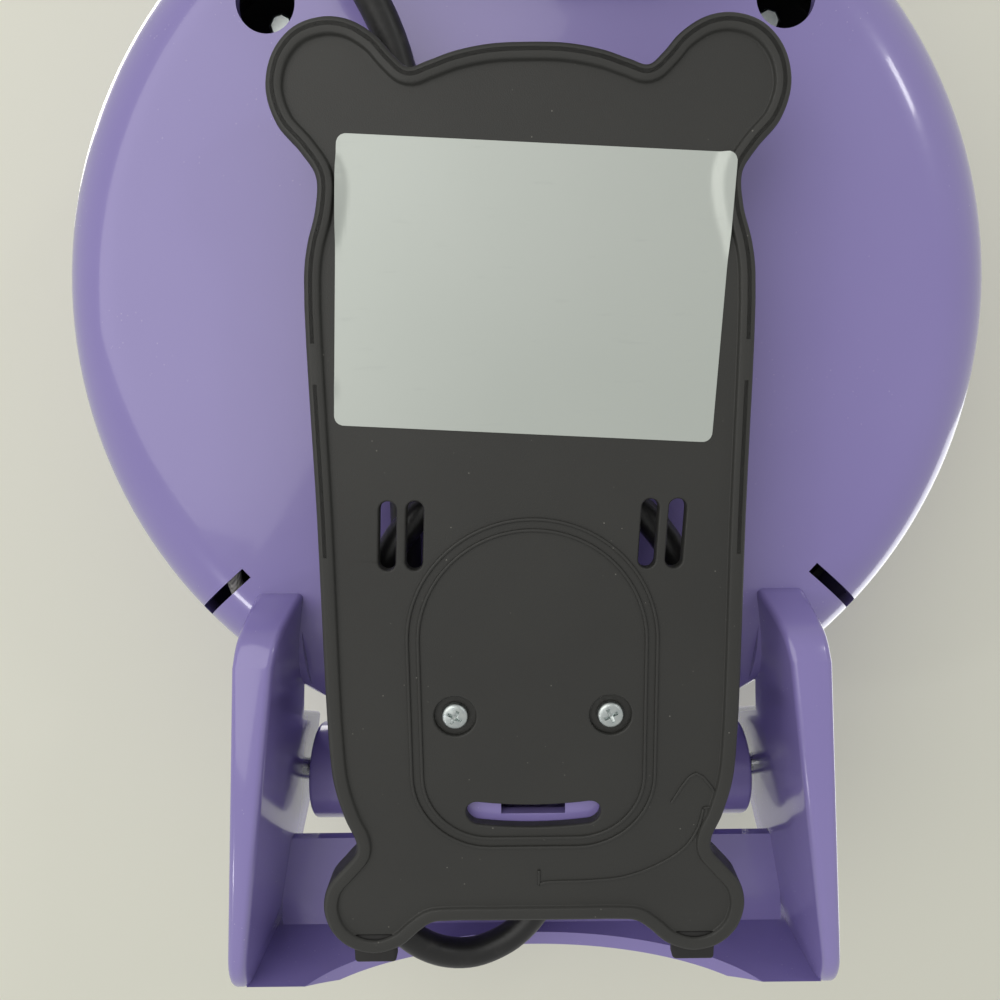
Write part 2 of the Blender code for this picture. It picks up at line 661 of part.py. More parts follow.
def lower_housing_fittings(cut, join):
    """Bosses, columns, posts and holes that the lower housing carries its pieces on."""
    boss_top = CORE_BOTTOM + WALL + CORE_BOSS_HEIGHT
    for side in SIDES:
        spot = Vector((side * PLATE_SCREW_X, PLATE_SCREW_REACH, 0))
        join(cylinder(CORE_BOSS_RADIUS, spot + Vector((0, 0, CORE_BOTTOM + WALL / 2)),
                      spot + Vector((0, 0, boss_top)), 12))
        cut(cylinder(SCREW_SHANK_RADIUS + CLEARANCE, spot, spot + Vector((0, 0, boss_top - WALL)), 10))
    column_top = column_height()
    for angle in STUD_ANGLES:
        low = BOWL_BOTTOM + WALL if angle < 0 else BOWL_BOTTOM + CREASE_RISE / 2 + WALL
        join(cylinder(COLUMN_RADIUS, polar(STUD_RING, angle, low), polar(STUD_RING, angle, column_top), 12))
        cut(cylinder(WELL_RADIUS, polar(STUD_RING, angle, 0),
                     polar(STUD_RING, angle, column_top - SEAT_THICKNESS), 12))
        cut(cylinder(SCREW_SHANK_RADIUS + CLEARANCE, polar(STUD_RING, angle, BOWL_BOTTOM),
                     polar(STUD_RING, angle, column_top + OVERRUN), 8))
    for angle in CLIP_ANGLES:
        join(cylinder(SHIELD_POST_RADIUS, polar(SHIELD_POST_RING, angle, BOWL_BOTTOM + WALL / 2),
                      polar(SHIELD_POST_RING, angle, lower_shield_height() - CLEARANCE), 8))
    rear = CORE_REAR
    exit_height = upper_layer()
    cut(cylinder(STRAIN_RADIUS - STRAIN_FLANGE + CLEARANCE, (strain_x(), rear - 2 * WALL, exit_height),
                 (strain_x(), rear + OVERRUN, exit_height), 16))
    cut(box((-CORE_FLOOR_WINDOW / 2, SLOT_REACH - SLOT_WIDTH, 0),
            (CORE_FLOOR_WINDOW / 2, CORE_REAR - 2 * WALL, CORE_BOTTOM + 2 * WALL)))
    pin_outer = leg_x(HINGE_REACH, HINGE_HEIGHT, False)
    for side in SIDES:
        cut(cylinder(HINGE_PIN_RADIUS + CLEARANCE, (side * (LEG_INNER - WALL), HINGE_REACH, HINGE_HEIGHT),
                     (side * (pin_outer + OVERRUN), HINGE_REACH, HINGE_HEIGHT), 12))
        spot = Vector((side * HANDLE_SCREW_X, -BOWL_RADIUS, PARTING_HEIGHT - HANDLE_SCREW_DROP))
        cut(cylinder(SCREW_SHANK_RADIUS + CLEARANCE, spot - Vector((0, OVERRUN, 0)),
                     spot + Vector((0, 3 * WALL, 0)), 10))


def column_height():
    """Top of the screw columns, where the baking plate's studs land."""
    return BOWL_BOTTOM + COLUMN_HEIGHT_SHARE * (PARTING_HEIGHT - BOWL_BOTTOM)


def upper_layer():
    """Height of the cord's upper lane above the base plate."""
    return BOWL_BOTTOM - CLEARANCE - CORD_DIAMETER / 2 - CORD_SLACK / 10


def lower_layer():
    """Height of the cord's lower lane above the base plate."""
    return PAN_HEIGHT + CLEARANCE + CORD_DIAMETER / 2 + CORD_SLACK / 10


def strain_x():
    """Where the cord leaves the core, a little to one side."""
    return CORD_LOOP_POINTS[0][0]


def lower_shield_height():
    return BOWL_BOTTOM + WALL + SHIELD_STANDOFF


def base_plate(finish, parent):
    """The pan that the cord winds above: raised rim, bead round the core, vents, slot and counterbores."""
    piece = place("base_plate", prism(plate_outline(), 0, PAN_HEIGHT), finish, parent)

    def cut(bm):
        combine(piece, bm, "DIFFERENCE", parent)

    cut(prism(plate_outline(PLATE_RIM), -OVERRUN, PLATE_RECESS))
    cut(prism(plate_outline(WALL), PLATE_RECESS + PLATE_PANEL, PAN_HEIGHT + OVERRUN))
    bead = prism(core_outline(BEAD_MARGIN), PLATE_RECESS - BEAD_HEIGHT, PLATE_RECESS + PLATE_PANEL / 2)
    combine(piece, bead, "UNION", parent)
    cut(prism(core_outline(BEAD_MARGIN - BEAD_WIDTH), 0, PLATE_RECESS))
    through = (-OVERRUN, PAN_HEIGHT + OVERRUN)
    for side in SIDES:
        for step in range(2):
            spot = (side * (GRILLE_INNER + step * GRILLE_PITCH), GRILLE_REACH)
            cut(prism(slot_outline(spot, GRILLE_LENGTH, GRILLE_WIDTH, False, 4), *through))
        spot = Vector((side * PLATE_SCREW_X, PLATE_SCREW_REACH, 0))
        cut(cylinder(COUNTERBORE_RADIUS, spot - Vector((0, 0, OVERRUN)),
                     spot + Vector((0, 0, PLATE_RECESS + PLATE_PANEL / 2)), 20))
        cut(cylinder(SCREW_SHANK_RADIUS + CLEARANCE, spot, spot + Vector((0, 0, PAN_HEIGHT)), 10))
        half = NUB_WIDTH / 2 + CLEARANCE
        low = PLATE_RECESS - CLEARANCE
        cut(box((side * NUB_X - half, PLATE_REAR + NUB_PROUD - NUB_DEPTH - CLEARANCE, low),
                (side * NUB_X + half, PLATE_REAR + OVERRUN, low + NUB_HEIGHT + 2 * CLEARANCE)))
    cut(prism(slot_outline((0, SLOT_REACH), SLOT_LENGTH, SLOT_WIDTH, True, 5), *through))
    return piece


def plate_screw(spot, low, length, turn, segments=SCREW_SEGMENTS):
    """A pan-head screw with a cross recess, head down at a point, shank up."""
    profile = [(0, 0), (SCREW_HEAD_RADIUS * SCREW_CROWN_SHARE, 0), (SCREW_HEAD_RADIUS, SCREW_HEAD_HEIGHT / 2),
               (SCREW_HEAD_RADIUS, SCREW_HEAD_HEIGHT), (SCREW_SHANK_RADIUS, SCREW_HEAD_HEIGHT),
               (SCREW_SHANK_RADIUS, length - SCREW_SHANK_RADIUS), (0, length)]
    bm = turned(profile, segments)
    bmesh.ops.rotate(bm, verts=bm.verts, cent=(0, 0, 0), matrix=Matrix.Rotation(turn, 3, "Z"))
    bmesh.ops.translate(bm, verts=bm.verts, vec=(spot[0], spot[1], low))
    return bm


def base_plate_fastenings(finishes, parent):
    """Two screws, two rubber nubs and the bare label."""
    head_low = PLATE_RECESS + PLATE_PANEL / 2 - CLEARANCE - SCREW_HEAD_HEIGHT
    for side, word in zip(SIDES, ("left", "right")):
        screw = plate_screw((side * PLATE_SCREW_X, PLATE_SCREW_REACH), head_low, PLATE_SCREW_LENGTH, side)
        place(f"base_plate_screw_{word}", screw, finishes["zinc"], parent)
        half = NUB_WIDTH / 2
        nub = box((side * NUB_X - half, PLATE_REAR + NUB_PROUD - NUB_DEPTH, PLATE_RECESS),
                  (side * NUB_X + half, PLATE_REAR + NUB_PROUD, PLATE_RECESS + NUB_HEIGHT))
        round_edges(nub, CLEARANCE * 3, lambda e: all(v.co.y > PLATE_REAR for v in e.verts))
        place(f"upright_foot_{word}", nub, finishes["rubber"], parent)
    label = prism(rounded_rectangle(LABEL_WIDTH / 2, LABEL_DEPTH / 2, LABEL_CORNER, 3),
                  PLATE_RECESS - CLEARANCE - LABEL_THICKNESS, PLATE_RECESS - CLEARANCE)
    turn = Matrix.Rotation(radians(LABEL_TURN), 3, "Z")
    bmesh.ops.rotate(label, verts=label.verts, cent=(0, 0, 0), matrix=turn)
    bmesh.ops.translate(label, verts=label.verts, vec=(0, LABEL_REACH, 0))
    piece = place("rating_label", label, finishes["label"], parent)
    field = prism(plate_outline(PLATE_RIM + CLEARANCE), -OVERRUN, PLATE_RECESS + OVERRUN)
    combine(piece, field, "INTERSECT", parent)


def cavity_places():
    """Middles of the twelve cavities."""
    outer = [polar(OUTER_RING, 90 + 360 / OUTER_COUNT * i) for i in range(OUTER_COUNT)]
    inner = [polar(INNER_RING, 90 + 360 / INNER_COUNT * i) for i in range(INNER_COUNT)]
    return outer + inner


def half_ball(centre, radius, top, segments, rings):
    """The lower half of a ball, ending flat just under or just over its middle."""
    profile = [(radius * sin(pi / 2 * i / rings), -radius * cos(pi / 2 * i / rings)) for i in range(rings)]
    if top < 0:
        profile += [(sqrt(radius * radius - top * top), top), (0, top)]
    else:
        profile += [(radius, 2 * CLEARANCE), (radius, top), (0, top)]
    bm = turned(profile, segments)
    bmesh.ops.translate(bm, verts=bm.verts, vec=centre)
    return bm


def baking_plate(name, finish, parent, upper, offset=(0, 0, 0)):
    """A cast plate with twelve half-ball cavities, a flange and fixing studs; the upper one is its mirror."""
    face = PARTING_HEIGHT
    under = face - BAKING_SKIN
    within = BAKING_RADIUS - BAKING_SKIN
    profile = [(0, under), (within, under), (within, face - BAKING_FLANGE),
               (BAKING_RADIUS, face - BAKING_FLANGE), (BAKING_RADIUS, face), (0, face)]
    pieces = [turned(profile, HOUSING_SEGMENTS)]
    outside = CAVITY_RADIUS + CAVITY_WALL
    for spot in cavity_places():
        pieces.append(half_ball(spot + Vector((0, 0, face)), outside, -BAKING_SKIN / 2, 12, 3))
    studs_low = column_height() + CLEARANCE

    def bar(radius, ring_radius, angle, low, high, segments):
        return cylinder(radius, polar(ring_radius, angle, low), polar(ring_radius, angle, high), segments)

    root = face - BAKING_SKIN / 2
    for angle in STUD_ANGLES:
        pieces.append(bar(STUD_RADIUS, STUD_RING, angle, studs_low, root, 8))
    for angle in CLIP_ANGLES:
        pieces.append(bar(CLIP_STUD_RADIUS, CLIP_RING, angle, clip_height() + CLEARANCE, root, 8))
    if not upper:
        pad = under - PAD_HEIGHT
        pieces.append(bar(THERMOSTAT_RADIUS, THERMOSTAT_RING, THERMOSTAT_ANGLE, pad, root, 12))
        pieces.append(bar(THERMOSTAT_RADIUS / 2, THERMOSTAT_RING, FUSE_ANGLE, pad, root, 10))
    cutters = [half_ball(spot + Vector((0, 0, face)), CAVITY_RADIUS, OVERRUN, 12, 3)
               for spot in cavity_places()]
    hole = SCREW_SHANK_RADIUS + CLEARANCE
    for angle in STUD_ANGLES:
        screw_end = studs_low + HOUSING_SCREW_LENGTH - SEAT_THICKNESS
        cutters.append(bar(hole, STUD_RING, angle, studs_low - OVERRUN, screw_end, 6))
    for angle in CLIP_ANGLES:
        cutters.append(bar(hole, CLIP_RING, angle, clip_height() - OVERRUN, face - 2 * BAKING_SKIN, 6))
    if upper:
        pieces = [mirrored(bm) for bm in pieces]
        cutters = [mirrored(bm) for bm in cutters]
    piece = place(name, pieces[0], finish, parent, offset)
    combine(piece, merged(pieces[1:]), "UNION", parent, offset)
    combine(piece, merged(cutters), "DIFFERENCE", parent, offset)
    return piece


def mirrored(bm):
    """The same shape turned over onto the lid's side of the parting face."""
    middle = (0, 0, PARTING_HEIGHT + BAKING_GAP / 2)
    bmesh.ops.rotate(bm, verts=bm.verts, cent=middle, matrix=Matrix.Rotation(pi, 3, "Y"))
    return bm


def clip_height():
    """Level that the element clips press up to, just below the element."""
    return PARTING_HEIGHT - ELEMENT_DROP - ELEMENT_RADIUS - CLEARANCE


def flip_height(z):
    """A height below the parting face, carried over to the lid's side."""
    return 2 * PARTING_HEIGHT + BAKING_GAP - z


def heating_element(name, finish, parent, upper, offset=(0, 0, 0)):
    """An open ring of sheathed element with two ends turned away from the plate."""
    level = PARTING_HEIGHT - ELEMENT_DROP
    span = 360 - 2 * ELEMENT_OPEN
    points = [polar(ELEMENT_RING, 90 + ELEMENT_OPEN + span * i / ELEMENT_POINTS, level)
              for i in range(ELEMENT_POINTS + 1)]
    down = Vector((0, 0, ELEMENT_END_DROP))
    bend = Vector((0, 0, ELEMENT_RADIUS))
    first = points[0] + (points[0] - points[1]).normalized() * ELEMENT_RADIUS
    last = points[-1] + (points[-1] - points[-2]).normalized() * ELEMENT_RADIUS
    points = [first - down, first - bend] + points + [last - bend, last - down]
    if upper:
        points = [Vector((p.x, p.y, flip_height(p.z))) for p in points]
    return tube(name, [p - Vector(offset) for p in points], ELEMENT_RADIUS, finish, parent, 1)


def element_clamp(name, finishes, parent, upper, offset=(0, 0, 0)):
    """A sheet ring with three lugs that presses the element to the plate, and its screws."""
    level = clip_height()
    inner = CLIP_RING + CLIP_STUD_RADIUS
    outer = ELEMENT_RING + CLIP_OVERHANG
    under = level - CLIP_THICKNESS
    sheet = ring([(inner, under), (outer, under), (outer, level), (inner, level)], 24)
    lugs, holes = [], []
    for number, angle in enumerate(CLIP_ANGLES, 1):
        lug = box((-CLIP_STUD_RADIUS, -CLIP_WIDTH / 2, -CLIP_THICKNESS),
                  (ELEMENT_RING - CLIP_RING, CLIP_WIDTH / 2, 0))
        bmesh.ops.rotate(lug, verts=lug.verts, cent=(0, 0, 0), matrix=Matrix.Rotation(radians(angle), 3, "Z"))
        bmesh.ops.translate(lug, verts=lug.verts, vec=polar(CLIP_RING, angle, level))
        lugs.append(lug)
        holes.append(cylinder(SCREW_SHANK_RADIUS + CLEARANCE, polar(CLIP_RING, angle, level - OVERRUN),
                              polar(CLIP_RING, angle, level + OVERRUN), 10))
        low = level - CLIP_THICKNESS - CLEARANCE - SCREW_HEAD_HEIGHT
        screw = plate_screw(polar(CLIP_RING, angle), low, SCREW_HEAD_HEIGHT + 3 * CLIP_STUD_RADIUS, 0)
        if upper:
            screw = mirrored(screw)
        place(f"{name}_clamp_screw_{number}", screw, finishes["zinc"], parent, offset)
    if upper:
        sheet, lugs, holes = mirrored(sheet), [mirrored(bm) for bm in lugs], [mirrored(bm) for bm in holes]
    piece = place(f"{name}_clamp", sheet, finishes["sheet"], parent, offset)
    for lug in lugs:
        combine(piece, lug, "UNION", parent, offset)
    combine(piece, merged(holes), "DIFFERENCE", parent, offset)
    room = ELEMENT_RING * sin(radians(ELEMENT_OPEN)) + 2 * ELEMENT_RADIUS
    mouth = box((-room, CLIP_RING / 2, level - OVERRUN), (room, outer + OVERRUN, level + OVERRUN))
    combine(piece, mirrored(mouth) if upper else mouth, "DIFFERENCE", parent, offset)


def heat_shield(name, finish, parent, upper, offset=(0, 0, 0)):
    """A dished sheet between the element and the housing."""
    level = lower_shield_height()
    profile = [(0, level), (SHIELD_RADIUS - SHIELD_LIP, level), (SHIELD_RADIUS, level + SHIELD_LIP),
               (SHIELD_RADIUS, level + SHIELD_LIP + SHIELD_THICKNESS),
               (SHIELD_RADIUS - SHIELD_LIP, level + SHIELD_THICKNESS), (0, level + SHIELD_THICKNESS)]
    window = box((-SHIELD_WINDOW, ELEMENT_RING - SHIELD_WINDOW / 2, level - OVERRUN),
                 (SHIELD_WINDOW, ELEMENT_RING + SHIELD_WINDOW / 2, level + OVERRUN))
    sheet = turned(profile, 24)
    if upper:
        sheet, window = mirrored(sheet), mirrored(window)
    piece = place(name, sheet, finish, parent, offset)
    combine(piece, window, "DIFFERENCE", parent, offset)
    return piece


def housing_screws(name, finish, parent, upper, offset=(0, 0, 0)):
    """Four long screws that draw a baking plate's studs onto the housing's columns."""
    low = column_height() - SEAT_THICKNESS - CLEARANCE - SCREW_HEAD_HEIGHT
    for number, angle in enumerate(STUD_ANGLES, 1):
        screw = plate_screw(polar(STUD_RING, angle), low, HOUSING_SCREW_LENGTH, radians(angle))
        if upper:
            screw = mirrored(screw)
        place(f"{name}_{number}", screw, finish, parent, offset)


def thermal_controls(finishes, parent):
    """Disc thermostat and sleeved thermal fuse, each on a pad of the lower baking plate."""
    seat = PARTING_HEIGHT - BAKING_SKIN - PAD_HEIGHT - CLEARANCE
    spot = polar(THERMOSTAT_RING, THERMOSTAT_ANGLE)
    back = THERMOSTAT_RADIUS * THERMOSTAT_BACK_SHARE
    flange = seat - THERMOSTAT_HEIGHT / 3
    profile = [(0, seat - THERMOSTAT_HEIGHT), (back, seat - THERMOSTAT_HEIGHT), (back, flange),
               (THERMOSTAT_RADIUS, flange), (THERMOSTAT_RADIUS, seat), (0, seat)]
    body = turned(profile, 20)
    bmesh.ops.translate(body, verts=body.verts, vec=spot)
    piece = place("thermostat", body, finishes["phenolic"], parent)
    for side in SIDES:
        tab = box((spot.x + side * THERMOSTAT_RADIUS / 2 - TAB_THICKNESS, spot.y - TAB_WIDTH / 2,
                   seat - THERMOSTAT_HEIGHT - TAB_LENGTH),
                  (spot.x + side * THERMOSTAT_RADIUS / 2 + TAB_THICKNESS, spot.y + TAB_WIDTH / 2,
                   seat - THERMOSTAT_HEIGHT / 2))
        combine(piece, tab, "UNION", parent)
    spot = polar(THERMOSTAT_RING, FUSE_ANGLE)
    along = Vector((-sin(radians(FUSE_ANGLE)), cos(radians(FUSE_ANGLE)), 0)) * FUSE_LENGTH / 2
    level = Vector((0, 0, seat - FUSE_RADIUS))
    place("thermal_fuse", cylinder(FUSE_RADIUS, spot - along + level, spot + along + level, 10),
          finishes["sleeve"], parent)


def lid_profile(inset):
    """The lid's outside as (radius, height) points from the rim to the crown, or its inside."""
    radius = BOWL_RADIUS - inset
    low = PARTING_HEIGHT + BAKING_GAP - (OVERRUN if inset else 0)
    crown = LID_TOP - inset
    flat = LID_TOP_RADIUS_SHARE * BOWL_RADIUS
    side = PARTING_HEIGHT + LID_SIDE
    steps = 6
    curve = []
    for i in range(steps + 1):
        a = pi / 2 * i / steps
        curve.append((flat + (radius - flat) * cos(a), side + (crown - BOWL_CROWN - side) * sin(a)))
    return [(0, low), (radius, low)] + curve + [(0, crown)]


def upper_housing(finish, parent, offset):
    """The lid's shell with its neck and hinge barrel, screw columns and lamp holes."""
    piece = place("upper_housing", turned(lid_profile(0), HOUSING_SEGMENTS), finish, parent, offset)

    def cut(bm):
        combine(piece, bm, "DIFFERENCE", parent, offset)

    def join(bm):
        combine(piece, bm, "UNION", parent, offset)

    low = PARTING_HEIGHT + BAKING_GAP
    barrel_top = HINGE_HEIGHT + BARREL_RADIUS
    neck = [(NECK_START, low), (HINGE_REACH - BARREL_RADIUS / 2, low),
            (HINGE_REACH, HINGE_HEIGHT), (HINGE_REACH + BARREL_RADIUS / 4, barrel_top - CLEARANCE),
            (HINGE_REACH - BARREL_RADIUS / 2, barrel_top + BARREL_RADIUS / 4),
            (BOWL_RADIUS - WALL, low + NECK_HEIGHT * NECK_SHOULDER_SHARE), (NECK_START, low + NECK_HEIGHT)]
    join(side_prism(neck, -NECK_HALF_WIDTH, NECK_HALF_WIDTH))
    half = barrel_half_length()
    join(cylinder(BARREL_RADIUS, (-half, HINGE_REACH, HINGE_HEIGHT), (half, HINGE_REACH, HINGE_HEIGHT), 24))
    cut(turned(lid_profile(WALL), HOUSING_SEGMENTS))
    bore_depth = HINGE_PIN_GRIP + CLEARANCE
    for side in SIDES:
        cut(cylinder(HINGE_PIN_RADIUS + CLEARANCE, (side * (half - bore_depth), HINGE_REACH, HINGE_HEIGHT),
                     (side * (half + OVERRUN), HINGE_REACH, HINGE_HEIGHT), 12))
        cut(cylinder(LENS_RADIUS - LENS_FLANGE, (side * LENS_X, LENS_REACH, LID_TOP - BARREL_RADIUS),
                     (side * LENS_X, LENS_REACH, LID_TOP + OVERRUN), 16))
        cut(cylinder(SCREW_SHANK_RADIUS + CLEARANCE,
                     (side * HANDLE_SCREW_X, -BOWL_RADIUS - OVERRUN, low + HANDLE_SCREW_DROP),
                     (side * HANDLE_SCREW_X, -BOWL_RADIUS + 3 * WALL, low + HANDLE_SCREW_DROP), 10))
    column_low = flip_height(column_height())
    for angle in STUD_ANGLES:
        join(cylinder(LID_COLUMN_RADIUS, polar(STUD_RING, angle, column_low),
                      polar(STUD_RING, angle, column_roof()), 10))
        cut(cylinder(SCREW_HEAD_RADIUS + CLEARANCE, polar(STUD_RING, angle, column_low + SEAT_THICKNESS),
                     polar(STUD_RING, angle, column_roof() - 2 * WALL), 8))
        cut(cylinder(SCREW_SHANK_RADIUS + CLEARANCE, polar(STUD_RING, angle, column_low - OVERRUN),
                     polar(STUD_RING, angle, column_low + SEAT_THICKNESS + CLEARANCE), 8))
    post_low = flip_height(lower_shield_height()) + CLEARANCE
    for angle in CLIP_ANGLES:
        join(cylinder(SHIELD_POST_RADIUS, polar(SHIELD_POST_RING, angle, post_low),
                      polar(SHIELD_POST_RING, angle, lid_height_at(SHIELD_POST_RING) - WALL / 2), 8))


def column_roof():
    """Where the lid's columns run into the crown."""
    return lid_height_at(STUD_RING + LID_COLUMN_RADIUS) - WALL / 2


def barrel_half_length():
    """Half the hinge barrel, just short of the legs' inner faces."""
    return leg_x(HINGE_REACH - BARREL_RADIUS, HINGE_HEIGHT + BARREL_RADIUS, True) - BARREL_END_GAP


def hinge_pins(finish, parent):
    """A headed pin through each leg into the barrel."""
    outer = leg_x(HINGE_REACH, HINGE_HEIGHT + HINGE_HEAD_RADIUS, False) + CLEARANCE
    inner = barrel_half_length() - HINGE_PIN_GRIP
    for side, word in zip(SIDES, ("left", "right")):
        seat = outer - inner
        crown = seat + HINGE_HEAD_HEIGHT
        profile = [(0, 0), (HINGE_PIN_RADIUS, 0), (HINGE_PIN_RADIUS, seat), (HINGE_HEAD_RADIUS, seat),
                   (HINGE_HEAD_RADIUS, seat + HINGE_HEAD_HEIGHT / 2),
                   (HINGE_HEAD_RADIUS * HINGE_CROWN_SHARE, crown), (0, crown)]
        bm = turned(profile, 12)
        bmesh.ops.rotate(bm, verts=bm.verts, cent=(0, 0, 0), matrix=Matrix.Rotation(side * pi / 2, 3, "Y"))
        bmesh.ops.translate(bm, verts=bm.verts, vec=(side * inner, HINGE_REACH, HINGE_HEIGHT))
        place(f"hinge_pin_{word}", bm, finish, parent)


def handle_shape(low, high):
    """A rounded tongue in front of the bowl, with its edges eased."""
    half = HANDLE_HALF_WIDTH
    front = -FRONT_REACH
    root = -BOWL_RADIUS + HANDLE_ROOT
    corner = HANDLE_CORNER
    outline = ([(-half, root)] + arc((-half + corner, front + corner), corner, 180, 270, 5)
               + arc((half - corner, front + corner), corner, 270, 360, 5) + [(half, root)])
    bm = prism(outline, low, high)
    return round_edges(bm, HANDLE_EDGE, lambda e: abs(e.verts[0].co.z - e.verts[1].co.z) < CLEARANCE
                       and all(v.co.y < root - CLEARANCE or v.co.y < -BOWL_RADIUS for v in e.verts), 2)


def handles(finishes, parent, lid, offset):
    """Upper and lower grips with their screws, and the ears that carry the latch."""
    around = BOWL_RADIUS + CLEARANCE
    gap = BAKING_GAP
    low = PARTING_HEIGHT - HANDLE_THICKNESS
    hub = [(0, -OVERRUN), (around, -OVERRUN), (around, LID_TOP + OVERRUN), (0, LID_TOP + OVERRUN)]
    lower = place("lower_handle", handle_shape(low, PARTING_HEIGHT), finishes["grip"], parent)
    combine(lower, turned(hub, HOUSING_SEGMENTS), "DIFFERENCE", parent)
    top = PARTING_HEIGHT + gap + HANDLE_THICKNESS
    upper = place("upper_handle", handle_shape(PARTING_HEIGHT + gap, top), finishes["grip"], lid, offset)
    for side in SIDES:
        x = side * (LATCH_HALF_WIDTH + CLEARANCE)
        y = -LATCH_PIVOT_REACH
        pad = [(-FRONT_REACH + HANDLE_EDGE + LATCH_EAR, PIVOT_HEIGHT - LATCH_EYE_RADIUS),
               (-FRONT_REACH + HANDLE_EDGE + LATCH_EAR, PIVOT_HEIGHT + LATCH_EYE_RADIUS)]
        ear = side_prism(arc((y, PIVOT_HEIGHT), LATCH_EYE_RADIUS, 90, 270, 6) + pad,
                         min(x, x + side * LATCH_EAR), max(x, x + side * LATCH_EAR))
        combine(upper, ear, "UNION", lid, offset)
    combine(upper, turned(hub, HOUSING_SEGMENTS), "DIFFERENCE", lid, offset)
    reach = LATCH_HALF_WIDTH + CLEARANCE + LATCH_EAR + OVERRUN
    combine(upper, cylinder(LATCH_PIN_RADIUS + CLEARANCE, (-reach, -LATCH_PIVOT_REACH, PIVOT_HEIGHT),
                            (reach, -LATCH_PIVOT_REACH, PIVOT_HEIGHT), 12), "DIFFERENCE", lid, offset)
    inside = (BOWL_RADIUS - WALL) * cos(pi / HOUSING_SEGMENTS)
    edge = HANDLE_SCREW_X + SCREW_HEAD_RADIUS
    start = -sqrt(inside * inside - edge * edge) + CLEARANCE + SCREW_HEAD_HEIGHT
    for name, target, home, shift, height in (
            ("lower", lower, parent, (0, 0, 0), PARTING_HEIGHT - HANDLE_SCREW_DROP),
            ("upper", upper, lid, offset, PARTING_HEIGHT + gap + HANDLE_SCREW_DROP)):
        for side, word in zip(SIDES, ("left", "right")):
            bm = plate_screw((0, 0), 0, HANDLE_SCREW_LENGTH, 0)
            bmesh.ops.rotate(bm, verts=bm.verts, cent=(0, 0, 0), matrix=Matrix.Rotation(pi / 2, 3, "X"))
            bmesh.ops.translate(bm, verts=bm.verts, vec=(side * HANDLE_SCREW_X, start, height))
            place(f"{name}_handle_screw_{word}", bm, finishes["zinc"], home, shift)
            mouth = (side * HANDLE_SCREW_X, -BOWL_RADIUS + OVERRUN, height)
            end = (side * HANDLE_SCREW_X, start - HANDLE_SCREW_LENGTH - CLEARANCE, height)
            hole = cylinder(SCREW_SHANK_RADIUS + CLEARANCE, mouth, end, 10)
            combine(target, hole, "DIFFERENCE", home, shift)


def latch(finishes, lid, offset):
    """A hook clip that hangs from its pin just clear of the lower handle, and the pin."""
    pivot = Vector((0, -LATCH_PIVOT_REACH, PIVOT_HEIGHT))
    axis = empty("latch_axis", pivot - Vector(offset), lid)
    drop = PIVOT_HEIGHT - (PARTING_HEIGHT - HANDLE_THICKNESS) + LATCH_HOOK_GAP
    front = -LATCH_EYE_RADIUS
    back = front + LATCH_THICKNESS
    low = -drop - LATCH_THICKNESS
    outline = [(front, 0), (front, low), (LATCH_TIP, low), (LATCH_TIP, -drop), (back, -drop), (back, 0)]
    bm = side_prism(outline, -LATCH_HALF_WIDTH, LATCH_HALF_WIDTH)
    piece = place("latch", bm, finishes["grip"], axis)
    eye = cylinder(LATCH_EYE_RADIUS, (-LATCH_HALF_WIDTH, 0, 0), (LATCH_HALF_WIDTH, 0, 0), 16)
    combine(piece, eye, "UNION", axis)
    reach = LATCH_HALF_WIDTH + OVERRUN
    bore = cylinder(LATCH_PIN_RADIUS + CLEARANCE, (-reach, 0, 0), (reach, 0, 0), 12)
    combine(piece, bore, "DIFFERENCE", axis)
    reach = Vector((LATCH_HALF_WIDTH + CLEARANCE + LATCH_EAR, 0, 0))
    pin = cylinder(LATCH_PIN_RADIUS, pivot - reach, pivot + reach, 12)
    place("latch_pin", pin, finishes["zinc"], lid, offset)


def lid_height_at(reach):
    """The crown's outer height at a radius within its flat part."""
    flat = LID_TOP_RADIUS_SHARE * BOWL_RADIUS
    if reach <= flat:
        return LID_TOP - BOWL_CROWN * reach / flat
    share = (reach - flat) / (BOWL_RADIUS - flat)
    side = PARTING_HEIGHT + LID_SIDE
    return side + (LID_TOP - BOWL_CROWN - side) * sqrt(1 - share * share)


def indicators(finishes, lid, offset):
    """Power and ready lenses on the crown, each with a neon lamp behind it."""
    for side, word in zip(SIDES, ("power", "ready")):
        reach = sqrt(LENS_X * LENS_X + LENS_REACH * LENS_REACH)
        top = lid_height_at(reach - LENS_RADIUS) + CLEARANCE
        stem = LENS_RADIUS - LENS_FLANGE - CLEARANCE
        shoulder = (LENS_RADIUS * LENS_CROWN_SHARE, top + LENS_DOME * LENS_SHOULDER_SHARE)
        profile = [(0, top - LENS_DEPTH), (stem, top - LENS_DEPTH), (stem, top), (LENS_RADIUS, top),
                   (LENS_RADIUS, top + LENS_FLANGE / 2), shoulder, (0, top + LENS_DOME)]
        bm = turned(profile, 16)
        bmesh.ops.translate(bm, verts=bm.verts, vec=(side * LENS_X, LENS_REACH, 0))
        place(f"{word}_lens", bm, finishes[f"{word}_glass"], lid, offset)
        tip = Vector((side * LENS_X, LENS_REACH, top - LENS_DEPTH - CLEARANCE))
        lamp = cylinder(LAMP_RADIUS, tip - Vector((0, 0, LAMP_LENGTH)), tip, 10)
        place(f"{word}_lamp", lamp, finishes["lamp"], lid, offset)


